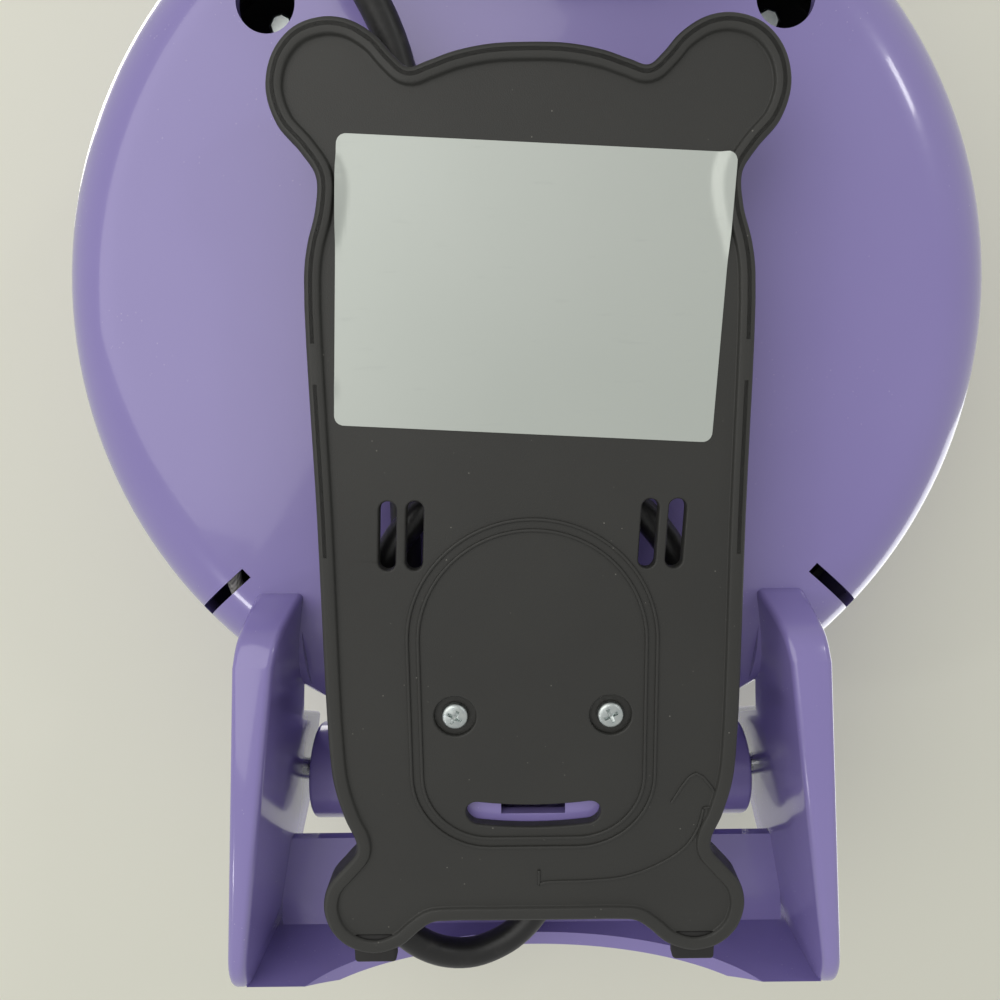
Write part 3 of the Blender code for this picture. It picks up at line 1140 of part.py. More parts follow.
def winding_points():
    """Cord centre line round the core: outer lane, lane change along the rear, inner lane, climb."""
    inner_gap = WINDING_START_GAP + CORD_DIAMETER / 2
    outer_gap = inner_gap + WINDING_PITCH
    half = CORE_HALF_WIDTH
    rear = CORE_REAR - CORE_REAR_CORNER
    middle = CORE_FRONT + half
    inset = half - CORE_REAR_CORNER
    mean = (inner_gap + outer_gap) / 2
    lengths = (rear - middle, pi * (half + mean), rear - middle, pi / 2 * (CORE_REAR_CORNER + mean),
               2 * inset, pi / 2 * (CORE_REAR_CORNER + mean))
    whole = sum(lengths)

    def at(turns):
        along = (turns % 1) * whole
        lane_start, lane_end = 1 - (lengths[3] + lengths[4] + lengths[5]) / whole, LANE_END_SHARE
        share = min(max((turns - lane_start) / (lane_end - lane_start), 0), 1)
        gap = outer_gap - WINDING_PITCH * share * share * (3 - 2 * share)
        climb = min(max((turns - CLIMB_START_SHARE) / CLIMB_SPAN_SHARE, 0), 1)
        z = lower_layer() + (upper_layer() - lower_layer()) * climb * climb * (3 - 2 * climb)
        for index, length in enumerate(lengths):
            if along <= length or index == len(lengths) - 1:
                break
            along -= length
        part = along / length
        if index == 0:
            return Vector((-half - gap, rear - along, z))
        if index == 1:
            a = pi + pi * part
            return Vector(((half + gap) * cos(a), middle + (half + gap) * sin(a), z))
        if index == 2:
            return Vector((half + gap, middle + along, z))
        if index == 4:
            return Vector((inset - along, CORE_REAR + gap, z))
        a = pi / 2 * part + (0 if index == 3 else pi / 2)
        centre = inset if index == 3 else -inset
        corner = CORE_REAR_CORNER + gap
        return Vector((centre + corner * cos(a), rear + corner * sin(a), z))

    steps = round(WINDING_STEPS * WINDING_TURNS_SHARE)
    points = [at(WINDING_TURNS_SHARE * i / steps) for i in range(steps + 1)]
    lead = Vector((0, CORD_DIAMETER, 0))
    points.insert(0, points[0] + lead)
    points.append(points[-1] - lead)
    return points


def least_gap(points, diameter):
    """Smallest distance between two stretches of the same cord, surface to surface."""
    fine = []
    for a, b in zip(points, points[1:]):
        fine += [a.lerp(b, k / 6) for k in range(6)]
    least = None
    skip = round(4 * diameter / ((fine[1] - fine[0]).length or 1))
    for i, a in enumerate(fine):
        for b in fine[i + max(skip, 24):]:
            gap = (a - b).length - diameter
            least = gap if least is None else min(least, gap)
    return least


def supply_cord(finishes, parent):
    """Strain relief, the loop that shows behind the base plate, the winding, the tail and the plug."""
    exit_height = upper_layer()
    stem = STRAIN_RADIUS - STRAIN_FLANGE
    profile = [(0, -WALL - STRAIN_FLANGE), (STRAIN_RADIUS, -WALL - STRAIN_FLANGE),
               (STRAIN_RADIUS, -WALL - CLEARANCE), (stem, -WALL - CLEARANCE), (stem, CLEARANCE),
               (STRAIN_TIP_RADIUS, STRAIN_LENGTH), (0, STRAIN_LENGTH)]
    relief = turned(profile, 16)
    bmesh.ops.rotate(relief, verts=relief.verts, cent=(0, 0, 0), matrix=Matrix.Rotation(-pi / 2, 3, "X"))
    bmesh.ops.translate(relief, verts=relief.verts, vec=(strain_x(), CORE_REAR, exit_height))
    place("strain_relief", relief, finishes["rubber"], parent)

    winding = winding_points()
    loop_start = Vector((strain_x(), CORE_REAR + STRAIN_LENGTH + CLEARANCE, exit_height))
    loop_end = winding[0] + Vector((0, CLEARANCE, 0))
    loop_points = [Vector(p) for p in CORD_LOOP_POINTS]
    along = Vector((0, CORD_DIAMETER, 0))
    route = smooth_through([loop_start] + loop_points[1:-1] + [loop_end + along, loop_end], 2, False)
    tube("cord_loop", route, CORD_DIAMETER / 2, finishes["cord"], parent)
    tube("cord_winding", winding, CORD_DIAMETER / 2, finishes["cord"], parent, 1)
    tail_start = winding[-1] - Vector((0, CLEARANCE, 0))
    plug_axis = Vector((PLUG_X, PLUG_REACH, PLUG_HEIGHT / 2 + CLEARANCE))
    tail_end = plug_axis - Vector((PLUG_NECK_LENGTH + CLEARANCE, 0, 0))
    tail_points = [Vector(p) for p in CORD_TAIL_POINTS]
    tail = smooth_through([tail_start, tail_start - along] + tail_points[1:-1] + [tail_end], 2, False)
    tube("cord_tail", tail, CORD_DIAMETER / 2, finishes["cord"], parent)
    whole = sum((b - a).length for run in (route, winding, tail) for a, b in zip(run, run[1:]))
    print(f"winding least gap to itself {least_gap(winding, CORD_DIAMETER) * 1000:.2f} mm")
    print(f"cord length {whole * 1000:.0f} mm")
    plug(finishes, parent, plug_axis)


def plug(finishes, parent, axis):
    """A plain two-blade plug lying under the front of the bowl."""
    body = box((axis.x, axis.y - PLUG_WIDTH / 2, axis.z - PLUG_HEIGHT / 2),
               (axis.x + PLUG_LENGTH, axis.y + PLUG_WIDTH / 2, axis.z + PLUG_HEIGHT / 2))
    round_edges(body, PLUG_ROUND, lambda e: True, 2)
    piece = place("plug_body", body, finishes["cord"], parent)
    profile = [(0, 0), (PLUG_NECK_RADIUS, 0), (PLUG_HEIGHT * PLUG_SHOULDER_SHARE, PLUG_NECK_LENGTH),
               (PLUG_HEIGHT * PLUG_SHOULDER_SHARE, PLUG_NECK_LENGTH + PLUG_ROUND), (0, PLUG_NECK_LENGTH + PLUG_ROUND)]
    neck = turned(profile, 14)
    bmesh.ops.rotate(neck, verts=neck.verts, cent=(0, 0, 0), matrix=Matrix.Rotation(pi / 2, 3, "Y"))
    bmesh.ops.translate(neck, verts=neck.verts, vec=axis - Vector((PLUG_NECK_LENGTH, 0, 0)))
    combine(piece, neck, "UNION", parent)
    for side, word in zip(SIDES, ("left", "right")):
        y = axis.y + side * BLADE_PITCH / 2
        low = (axis.x + PLUG_LENGTH - BLADE_ROOT, y - BLADE_THICKNESS / 2, axis.z - BLADE_WIDTH / 2)
        high = (axis.x + PLUG_LENGTH + BLADE_LENGTH, y + BLADE_THICKNESS / 2, axis.z + BLADE_WIDTH / 2)
        place(f"plug_blade_{word}", box(low, high), finishes["brass"], parent)
        room = Vector((CLEARANCE, CLEARANCE, CLEARANCE))
        mouth = box(Vector(low) - room, Vector(high) + room + Vector((OVERRUN, 0, 0)))
        combine(piece, mouth, "DIFFERENCE", parent)


def inner_wiring(finishes, parent):
    """Terminal block in the core and the leads from it to the element, thermostat and fuse."""
    floor = CORE_BOTTOM + WALL + CLEARANCE
    block = box((-BLOCK_WIDTH / 2, BLOCK_REACH - BLOCK_LENGTH / 2, floor),
                (BLOCK_WIDTH / 2, BLOCK_REACH + BLOCK_LENGTH / 2, floor + BLOCK_HEIGHT))
    round_edges(block, CLEARANCE * 3, lambda e: True, 1)
    place("terminal_block", block, finishes["ceramic"], parent)
    top = floor + BLOCK_HEIGHT + CLEARANCE + WIRE_RADIUS
    level = PARTING_HEIGHT - ELEMENT_DROP - ELEMENT_END_DROP
    open_x = ELEMENT_RING * sin(radians(ELEMENT_OPEN))
    for side, word in zip(SIDES, ("live", "neutral")):
        x = side * BLOCK_WIDTH / 4
        end = Vector((side * (open_x - ELEMENT_RADIUS), ELEMENT_RING, level - CLEARANCE - WIRE_RADIUS))
        points = [Vector((x, BLOCK_REACH, top)),
                  Vector((x, BLOCK_REACH - BLOCK_LENGTH / 3, top + WIRE_RADIUS * 3)),
                  Vector((x * LEAD_SPREAD_SHARE, BLOCK_REACH - BLOCK_LENGTH / 2, top + WIRE_RADIUS * 6)),
                  Vector((end.x, end.y + WIRE_RADIUS * 3, end.z - WIRE_RADIUS * 4)), end]
        tube(f"{word}_lead", smooth_through(points, 3, False), WIRE_RADIUS, finishes["lead"], parent, 1)


def build():
    clear_scene()
    finishes = {
        "shell": material("purple_gloss", (0.26, 0.19, 0.52), 0.16),
        "plate": material("black_matt", (0.022, 0.022, 0.021), 0.6),
        "rubber": material("black_rubber", (0.016, 0.016, 0.016), 0.75),
        "label": material("silver_label", (0.53, 0.56, 0.52), 0.4),
        "zinc": material("zinc_plate", (0.62, 0.68, 0.66), 0.35, 1.0),
        "coating": material("nonstick_black", (0.03, 0.03, 0.032), 0.45),
        "element": material("element_sheath", (0.25, 0.25, 0.24), 0.4, 1.0),
        "sheet": material("aluminised_sheet", (0.7, 0.7, 0.7), 0.35, 1.0),
        "phenolic": material("phenolic_brown", (0.08, 0.05, 0.03), 0.5),
        "sleeve": material("glass_sleeve", (0.75, 0.73, 0.66), 0.8),
        "ceramic": material("white_ceramic", (0.8, 0.78, 0.72), 0.4),
        "lead": material("lead_sleeve", (0.6, 0.6, 0.58), 0.7),
        "pin": material("steel_pin", (0.55, 0.55, 0.56), 0.3, 1.0),
        "grip": material("black_grip", (0.02, 0.02, 0.02), 0.45),
        "cord": material("black_cord", (0.015, 0.015, 0.015), 0.5),
        "brass": material("nickel_brass", (0.72, 0.66, 0.5), 0.3, 1.0),
        "power_glass": material("red_lens", (0.6, 0.03, 0.02), 0.12),
        "ready_glass": material("green_lens", (0.03, 0.4, 0.08), 0.12),
        "lamp": material("neon_lamp", (0.8, 0.75, 0.7), 0.15),
    }
    bowl = empty("bowl_axis", (0, AXIS_Y, 0))
    hinge = Vector((0, HINGE_REACH, HINGE_HEIGHT))
    lid = empty("lid_axis", hinge, bowl)
    offset = tuple(hinge)

    _, cut, join = lower_housing(finishes["shell"], bowl)
    lower_housing_fittings(cut, join)
    base_plate(finishes["plate"], bowl)
    base_plate_fastenings(finishes, bowl)
    baking_plate("lower_baking_plate", finishes["coating"], bowl, False)
    heating_element("lower_heating_element", finishes["element"], bowl, False)
    element_clamp("lower_element", finishes, bowl, False)
    heat_shield("lower_heat_shield", finishes["sheet"], bowl, False)
    housing_screws("lower_plate_screw", finishes["zinc"], bowl, False)
    thermal_controls(finishes, bowl)
    inner_wiring(finishes, bowl)
    hinge_pins(finishes["pin"], bowl)
    supply_cord(finishes, bowl)

    upper_housing(finishes["shell"], lid, offset)
    baking_plate("upper_baking_plate", finishes["coating"], lid, True, offset)
    heating_element("upper_heating_element", finishes["element"], lid, True, offset)
    element_clamp("upper_element", finishes, lid, True, offset)
    heat_shield("upper_heat_shield", finishes["sheet"], lid, True, offset)
    housing_screws("upper_plate_screw", finishes["zinc"], lid, True, offset)
    indicators(finishes, lid, offset)
    handles(finishes, bowl, lid, offset)
    latch(finishes, lid, offset)


build()
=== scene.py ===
"""Looks of the cake pop maker: moulded shells, base plate, label, handles, cord and baking plates."""
import json
from math import asin, atan2, cos, pi, radians, sin, sqrt

import bmesh
import bpy
from mathutils import Matrix, Vector


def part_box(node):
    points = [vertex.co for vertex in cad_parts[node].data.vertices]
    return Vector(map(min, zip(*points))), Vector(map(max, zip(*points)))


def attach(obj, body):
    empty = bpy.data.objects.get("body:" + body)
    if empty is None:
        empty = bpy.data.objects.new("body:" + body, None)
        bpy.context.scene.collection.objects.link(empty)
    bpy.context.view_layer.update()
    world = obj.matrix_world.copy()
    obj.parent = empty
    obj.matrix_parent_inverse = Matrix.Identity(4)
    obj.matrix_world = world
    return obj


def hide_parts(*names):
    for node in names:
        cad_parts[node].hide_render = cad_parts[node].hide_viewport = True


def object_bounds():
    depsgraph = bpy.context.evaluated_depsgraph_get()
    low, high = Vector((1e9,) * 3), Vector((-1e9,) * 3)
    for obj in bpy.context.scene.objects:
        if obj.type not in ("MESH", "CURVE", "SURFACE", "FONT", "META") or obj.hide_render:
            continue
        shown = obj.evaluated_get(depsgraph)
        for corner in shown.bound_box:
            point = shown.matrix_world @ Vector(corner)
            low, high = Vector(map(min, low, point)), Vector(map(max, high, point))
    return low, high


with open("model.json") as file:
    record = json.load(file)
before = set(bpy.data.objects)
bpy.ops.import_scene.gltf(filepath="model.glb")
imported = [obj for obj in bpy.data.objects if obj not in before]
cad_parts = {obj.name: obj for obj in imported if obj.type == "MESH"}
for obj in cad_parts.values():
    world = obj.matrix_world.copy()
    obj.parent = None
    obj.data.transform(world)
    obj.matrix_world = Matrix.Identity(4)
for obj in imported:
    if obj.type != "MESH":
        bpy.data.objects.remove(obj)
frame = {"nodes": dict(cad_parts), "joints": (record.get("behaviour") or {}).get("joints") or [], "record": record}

CAD_LOW, CAD_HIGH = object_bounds()

# Places read from the imported solids: the bowl's axis, the parting face and the hinge
PLATE_LOW, PLATE_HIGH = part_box("lower_baking_plate")
AXIS_Y = (PLATE_LOW.y + PLATE_HIGH.y) / 2
PLATE_RADIUS = (PLATE_HIGH.x - PLATE_LOW.x) / 2
PARTING_HEIGHT = PLATE_HIGH.z
JOINTS = {j["name"]: j for j in frame["joints"]}
HINGE = Vector(JOINTS["lid_hinge"]["pos_m"])
LATCH_PIVOT = Vector(JOINTS["latch_pivot"]["pos_m"])

# Camera: 751 pixels of focal length on a 1000 pixel frame, under the object, leaning to the rear
FOCAL_PIXELS = 751.0
FRAME_PIXELS = 1000.0
SENSOR = 36.0
CAMERA_BELOW = 0.15825
CAMERA_X = -0.0035
CAMERA_Y = 0.0137
CAMERA_TILT = 9.36
CAMERA_ROLL = -0.6
CENTRE_SHIFT = 15.0


def linear(red, green, blue):
    """A linear colour from one given in the 0 to 255 steps of a picture."""
    def one(value):
        share = value / 255
        return share / 12.92 if share <= 0.04045 else ((share + 0.055) / 1.055) ** 2.4
    return (one(red), one(green), one(blue), 1.0)


def camera():
    """A camera under the object, as the photograph was taken."""
    data = bpy.data.cameras.new("photo_camera")
    data.sensor_width = SENSOR
    data.lens = FOCAL_PIXELS / FRAME_PIXELS * SENSOR
    data.shift_x = -CENTRE_SHIFT / FRAME_PIXELS
    data.clip_start, data.clip_end = 0.01, 20.0
    made = bpy.data.objects.new("photo_camera", data)
    bpy.context.scene.collection.objects.link(made)
    tilt = radians(CAMERA_TILT)
    ahead = Vector((0, sin(tilt), cos(tilt)))
    up = Vector((0, -cos(tilt), sin(tilt)))
    turn = Matrix((Vector((1, 0, 0)), up, -ahead)).transposed().to_4x4()
    turn = turn @ Matrix.Rotation(radians(CAMERA_ROLL), 4, "Z")
    made.matrix_world = Matrix.Translation((CAMERA_X, CAMERA_Y + AXIS_Y, -CAMERA_BELOW)) @ turn
    bpy.context.scene.camera = made


class Value:
    """A shader socket that takes part in arithmetic."""

    def __init__(self, graph, socket):
        self.graph = graph
        self.socket = socket

    def __add__(self, other):
        return self.graph.maths("ADD", self, other)

    __radd__ = __add__

    def __mul__(self, other):
        return self.graph.maths("MULTIPLY", self, other)

    __rmul__ = __mul__

    def __sub__(self, other):
        return self.graph.maths("SUBTRACT", self, other)

    def __rsub__(self, other):
        return self.graph.maths("SUBTRACT", other, self)

    def __truediv__(self, other):
        return self.graph.maths("DIVIDE", self, other)


class Graph:
    """The nodes of one material."""

    def __init__(self, name, colour, roughness, **fixed):
        self.material = bpy.data.materials.new(name)
        self.material.use_nodes = True
        self.tree = self.material.node_tree
        self.shader = self.tree.nodes["Principled BSDF"]
        self.shader.inputs["Base Color"].default_value = colour
        self.shader.inputs["Roughness"].default_value = roughness
        for key, value in fixed.items():
            self.shader.inputs[key.replace("_", " ").title().replace("Ior", "IOR")].default_value = value
        self.place = self.node("ShaderNodeTexCoord", output="Object")

    def put(self, socket, value):
        """Give a socket a link or a plain value."""
        if isinstance(value, Value):
            self.tree.links.new(value.socket, socket)
        else:
            socket.default_value = value

    def node(self, kind, settings=None, output=0, **values):
        """Add a node: its settings first, then the values or links of its sockets."""
        made = self.tree.nodes.new(kind)
        for key, value in (settings or {}).items():
            if key == "stops":
                ramp = made.color_ramp
                for stop, (position, colour) in enumerate(value):
                    element = ramp.elements[stop] if stop < 2 else ramp.elements.new(position)
                    element.position = position
                    element.color = colour
            else:
                setattr(made, key, value)
        for key, value in values.items():
            name = int(key[1:]) if key[0] == "s" and key[1:].isdigit() else key
            self.put(made.inputs[name], value)
        return Value(self, made.outputs[output])

    def maths(self, operation, *values):
        made = self.tree.nodes.new("ShaderNodeMath")
        made.operation = operation
        for number, value in enumerate(values):
            self.put(made.inputs[number], value)
        return Value(self, made.outputs[0])

    def noise(self, scale, detail=2.0, stretch=None):
        """A noise between 0 and 1, in turns per metre, stretched along the axes if asked."""
        place = self.place
        if stretch:
            place = self.node("ShaderNodeMapping", Vector=place, Scale=stretch)
        return self.node("ShaderNodeTexNoise", {"normalize": True}, "Fac", Vector=place, Scale=scale,
                         Detail=detail)

    def step(self, value, low, high):
        """A smooth rise from 0 to 1 between two levels."""
        return self.node("ShaderNodeMapRange", {"interpolation_type": "SMOOTHSTEP"}, 0, Value=value,
                         s1=low, s2=high)

    def blend(self, share, first, second):
        """A mix of two colours."""
        return self.node("ShaderNodeMix", {"data_type": "RGBA"}, 2, s0=share, s6=first, s7=second)

    def specks(self, scale, size):
        """Scattered small dots, 1 inside a dot."""
        spots = self.node("ShaderNodeTexVoronoi", {}, "Distance", Vector=self.place, Scale=scale)
        return 1.0 - self.step(spots, size * 0.6, size)

    def bump(self, height, distance, strength=1.0):
        """Raise the surface by a height, in metres at full height."""
        normal = self.node("ShaderNodeBump", {}, 0, Height=height, Distance=distance, Strength=strength)
        self.put(self.shader.inputs["Normal"], normal)

    def surface(self, **links):
        """Link what changes over the surface."""
        for key, value in links.items():
            self.put(self.shader.inputs[key.replace("_", " ").title()], value)
        return self.material


def shell_plastic():
    """Glossy violet moulding: faint orange peel, a little dust and slight unevenness of colour."""
    violet = linear(139, 127, 188)
    graph = Graph("violet_shell", violet, 0.2, coat_weight=0.6, coat_roughness=0.06, specular_ior_level=0.5)
    broad = graph.noise(18.0, 3.0)
    dust = graph.specks(620.0, 0.09) * graph.step(graph.noise(60.0), 0.52, 0.7)
    tone = graph.blend(broad, linear(134, 121, 184), linear(144, 133, 192))
    graph.bump(graph.noise(260.0, 2.0) * 0.6 + graph.noise(45.0) * 0.8, 0.00005)
    return graph.surface(base_color=graph.blend(dust * 0.35, tone, linear(214, 210, 222)),
                         roughness=0.17 + broad * 0.08 + dust * 0.3)


def plate_plastic():
    """Fine spark-eroded black moulding with dust caught in the grain."""
    graph = Graph("black_plate", linear(46, 46, 44), 0.5, specular_ior_level=0.45)
    grain = graph.noise(3800.0, 2.0)
    cloud = graph.noise(30.0, 3.0)
    dust = graph.specks(420.0, 0.085) * graph.step(graph.noise(85.0), 0.5, 0.66)
    tone = graph.blend(cloud, linear(43, 43, 41), linear(53, 53, 50))
    graph.bump(grain + dust * 0.6, 0.00006)
    return graph.surface(base_color=graph.blend(dust * 0.55, tone, linear(150, 148, 140)),
                         roughness=0.42 + grain * 0.16 + dust * 0.2)


def label_film():
    """Satin silver film, bare, with the plate's grain showing faintly through."""
    graph = Graph("label_film", linear(190, 196, 189), 0.36, metallic=0.25)
    broad = graph.noise(14.0, 2.0)
    fine = graph.noise(900.0, 2.0)
    scuffs = graph.step(graph.noise(70.0, 4.0, (1.0, 6.0, 1.0)), 0.62, 0.78)
    tone = graph.blend(broad, linear(184, 191, 184), linear(197, 202, 196))
    graph.bump(fine * 0.4 + broad, 0.00003)
    return graph.surface(base_color=graph.blend(scuffs * 0.3, tone, linear(170, 176, 172)),
                         roughness=0.32 + fine * 0.1 + scuffs * 0.12)


def zinc():
    """Bright zinc plating, slightly mottled and scratched by the driver."""
    graph = Graph("zinc_plate", linear(198, 206, 205), 0.3, metallic=1.0)
    mottle = graph.noise(900.0, 3.0)
    scratch = graph.noise(1500.0, 2.0, (1.0, 9.0, 1.0))
    graph.bump(scratch * 0.7 + mottle * 0.5, 0.00004)
    return graph.surface(base_color=graph.blend(mottle, linear(176, 188, 190), linear(222, 226, 222)),
                         roughness=0.2 + mottle * 0.25)


def rubber():
    """Matt black rubber with a dusty bloom."""
    graph = Graph("black_rubber", linear(38, 38, 38), 0.7, specular_ior_level=0.35)
    bloom = graph.noise(300.0, 3.0)
    graph.bump(graph.noise(2400.0), 0.00005)
    return graph.surface(base_color=graph.blend(bloom, linear(32, 32, 32), linear(52, 51, 50)),
                         roughness=0.62 + bloom * 0.2)


def cord_sheath():
    """Smooth black cord sheath with long soft scuffs."""
    graph = Graph("cord_sheath", linear(30, 30, 30), 0.38, specular_ior_level=0.5)
    scuff = graph.noise(220.0, 3.0)
    graph.bump(graph.noise(1400.0), 0.00003)
    return graph.surface(base_color=graph.blend(graph.step(scuff, 0.55, 0.8), linear(27, 27, 27),
                                                linear(48, 47, 46)),
                         roughness=0.32 + scuff * 0.18)


def grip_plastic():
    """Satin black moulding of the handles and latch."""
    graph = Graph("black_grip", linear(40, 40, 40), 0.38, specular_ior_level=0.5)
    grain = graph.noise(3000.0)
    wear = graph.step(graph.noise(55.0, 4.0), 0.58, 0.8)
    graph.bump(grain, 0.00003)
    return graph.surface(base_color=graph.blend(wear, linear(37, 37, 37), linear(54, 53, 52)),
                         roughness=0.34 + grain * 0.08 - wear * 0.08)


def non_stick():
    """Sprayed dark coating on cast metal: fine speckle and a soft sheen."""
    graph = Graph("non_stick_coating", linear(48, 48, 50), 0.42, specular_ior_level=0.6)
    grain = graph.noise(1500.0, 3.0)
    fleck = graph.specks(900.0, 0.16)
    graph.bump(grain, 0.00005)
    return graph.surface(base_color=graph.blend(fleck * 0.5, linear(44, 44, 47), linear(92, 92, 96)),
                         roughness=0.34 + grain * 0.14)


def bare_metal(name, dark, light, roughness, scale, stretch=None):
    """A plain worked metal with streaks or mottle between two tones."""
    graph = Graph(name, light, roughness, metallic=1.0)
    streak = graph.noise(scale, 3.0, stretch)
    graph.bump(streak, 0.00003)
    return graph.surface(base_color=graph.blend(streak, dark, light),
                         roughness=roughness - 0.08 + streak * 0.18)


def braid():
    """Woven glass sleeving: a fine diagonal check."""
    graph = Graph("glass_braid", linear(176, 174, 166), 0.75)
    first = graph.node("ShaderNodeTexWave", {"bands_direction": "DIAGONAL"}, "Fac", Vector=graph.place,
                       Scale=420.0)
    second = graph.node("ShaderNodeTexWave", {"bands_direction": "Z"}, "Fac", Vector=graph.place, Scale=620.0)
    weave = first * 0.5 + second * 0.5
    graph.bump(weave, 0.0001)
    return graph.surface(base_color=graph.blend(weave, linear(120, 118, 112), linear(206, 204, 196)))


def lens(name, colour, glow):
    """Tinted clear plastic over an unlit lamp."""
    graph = Graph(name, colour, 0.08, transmission_weight=0.35, ior=1.49, coat_weight=0.5)
    haze = graph.noise(400.0)
    graph.bump(haze, 0.00002)
    return graph.surface(base_color=graph.blend(haze, colour, glow), roughness=0.06 + haze * 0.08)


def moulded(name, dark, light, roughness, scale=600.0):
    """A dull inner moulding or casting, slightly uneven."""
    graph = Graph(name, light, roughness)
    mottle = graph.noise(scale, 3.0)
    graph.bump(mottle, 0.00005)
    return graph.surface(base_color=graph.blend(mottle, dark, light),
                         roughness=roughness - 0.06 + mottle * 0.12)


def lamp_glass():
    """Thin clear glass of a neon lamp."""
    graph = Graph("lamp_glass", linear(235, 226, 214), 0.05, transmission_weight=0.8, ior=1.5)
    haze = graph.noise(700.0)
    return graph.surface(roughness=0.03 + haze * 0.08)


FINISHES = {
    "purple_gloss": shell_plastic(),
    "black_matt": plate_plastic(),
    "black_rubber": rubber(),
    "silver_label": label_film(),
    "zinc_plate": zinc(),
    "nonstick_black": non_stick(),
    "element_sheath": bare_metal("element_sheath", linear(74, 72, 70), linear(122, 120, 116), 0.45, 300.0),
    "aluminised_sheet": bare_metal("aluminised_sheet", linear(160, 162, 164), linear(205, 207, 208), 0.34,
                                   160.0, (1.0, 12.0, 1.0)),
    "phenolic_brown": moulded("phenolic_brown", linear(62, 42, 30), linear(84, 58, 42), 0.5),
    "glass_sleeve": braid(),
    "white_ceramic": moulded("white_ceramic", linear(214, 210, 200), linear(236, 233, 226), 0.4),
    "lead_sleeve": moulded("lead_sleeve", linear(176, 172, 160), linear(212, 208, 198), 0.8, 2600.0),
    "steel_pin": bare_metal("steel_pin", linear(150, 152, 155), linear(200, 202, 205), 0.26, 500.0,
                            (1.0, 6.0, 6.0)),
    "black_grip": grip_plastic(),
    "black_cord": cord_sheath(),
    "nickel_brass": bare_metal("nickel_brass", linear(178, 170, 150), linear(222, 216, 200), 0.24, 400.0),
    "red_lens": lens("red_lens", linear(176, 22, 16), linear(212, 40, 28)),
    "green_lens": lens("green_lens", linear(22, 120, 46), linear(48, 158, 72)),
    "neon_lamp": lamp_glass(),
}

# Walls and fits, as the solids have them
CLEARANCE = 0.0003
WALL = 0.0025
OVERRUN = 0.004
ROUND_STEPS = 160


def arc(centre, radius, start, end, steps):
    """Points along an arc, in degrees."""
    angles = [radians(start + (end - start) * i / steps) for i in range(steps + 1)]
    return [(centre[0] + radius * cos(a), centre[1] + radius * sin(a)) for a in angles]


def polar(ring, angle, height=0.0):
    """A place on a ring about the bowl's axis; 90 degrees is the rear."""
    return Vector((ring * cos(radians(angle)), ring * sin(radians(angle)), height))


def smooth_through(points, steps, closed):
    """A smooth curve through given points."""
    points = [Vector(p) for p in points]
    count = len(points)
    spans = count if closed else count - 1
    result = []
    for i in range(spans):
        if closed:
            a, b, c, d = (points[(i + k) % count] for k in (-1, 0, 1, 2))
        else:
            a, b, c, d = (points[min(max(i + k, 0), count - 1)] for k in (-1, 0, 1, 2))
        for k in range(steps):
            t = k / steps
            result.append(0.5 * (2 * b + (c - a) * t + (2 * a - 5 * b + 4 * c - d) * t * t
                                 + (3 * b - a - 3 * c + d) * t ** 3))
    if not closed:
        result.append(points[-1])
    return result


def spun(profile, steps=ROUND_STEPS, closed=False):
    """A solid of revolution from (radius, height) points; a closed profile makes a ring."""
    bm = bmesh.new()
    verts = [bm.verts.new((r, 0, z)) for r, z in profile]
    pairs = list(zip(verts, verts[1:])) + ([(verts[-1], verts[0])] if closed else [])
    edges = [bm.edges.new(pair) for pair in pairs]
    bmesh.ops.spin(bm, geom=verts + edges, cent=(0, 0, 0), axis=(0, 0, 1), angle=2 * pi, steps=steps,
                   use_merge=True)
    bmesh.ops.remove_doubles(bm, verts=bm.verts, dist=CLEARANCE / 30)
    bmesh.ops.recalc_face_normals(bm, faces=bm.faces)
    return bm


def prism(outline, low, high):
    """An outline of (x, y) points raised from one height to another."""
    bm = bmesh.new()
    face = bm.faces.new([bm.verts.new((x, y, low)) for x, y in outline])
    raised = bmesh.ops.extrude_face_region(bm, geom=[face])
    tops = [v for v in raised["geom"] if isinstance(v, bmesh.types.BMVert)]
    bmesh.ops.translate(bm, verts=tops, vec=(0, 0, high - low))
    bmesh.ops.recalc_face_normals(bm, faces=bm.faces)
    return bm


def side_prism(outline, left, right):
    """An outline of (y, z) points drawn out along X."""
    bm = prism(outline, left, right)
    bmesh.ops.transform(bm, verts=bm.verts, matrix=Matrix(((0, 0, 1, 0), (1, 0, 0, 0), (0, 1, 0, 0),
                                                           (0, 0, 0, 1))))
    return bm


def front_prism(outline, near, far):
    """An outline of (x, z) points drawn out along Y."""
    bm = prism(outline, near, far)
    bmesh.ops.transform(bm, verts=bm.verts, matrix=Matrix(((1, 0, 0, 0), (0, 0, 1, 0), (0, 1, 0, 0),
                                                           (0, 0, 0, 1))))
    bmesh.ops.recalc_face_normals(bm, faces=bm.faces)
    return bm


def block(low, high):
    """A plain block between two corners."""
    bm = bmesh.new()
    size = Vector(high) - Vector(low)
    middle = (Vector(high) + Vector(low)) / 2
    bmesh.ops.create_cube(bm, size=1, matrix=Matrix.Translation(middle) @ Matrix.Diagonal((*size, 1)))
    return bm


def rod(radius, start, end, segments=40):
    """A round bar between two points."""
    bm = bmesh.new()
    way = Vector(end) - Vector(start)
    turn = way.to_track_quat("Z", "Y").to_matrix().to_4x4()
    middle = (Vector(start) + Vector(end)) / 2
    bmesh.ops.create_cone(bm, cap_ends=True, segments=segments, radius1=radius, radius2=radius,
                          depth=way.length, matrix=Matrix.Translation(middle) @ turn)
    return bm


def gathered(parts):
    """Several bmeshes kept as separate bodies of one mesh."""
    whole = bmesh.new()
    for part in parts:
        mesh = bpy.data.meshes.new("loose")
        part.to_mesh(mesh)
        part.free()
        whole.from_mesh(mesh)
        bpy.data.meshes.remove(mesh)
    return whole


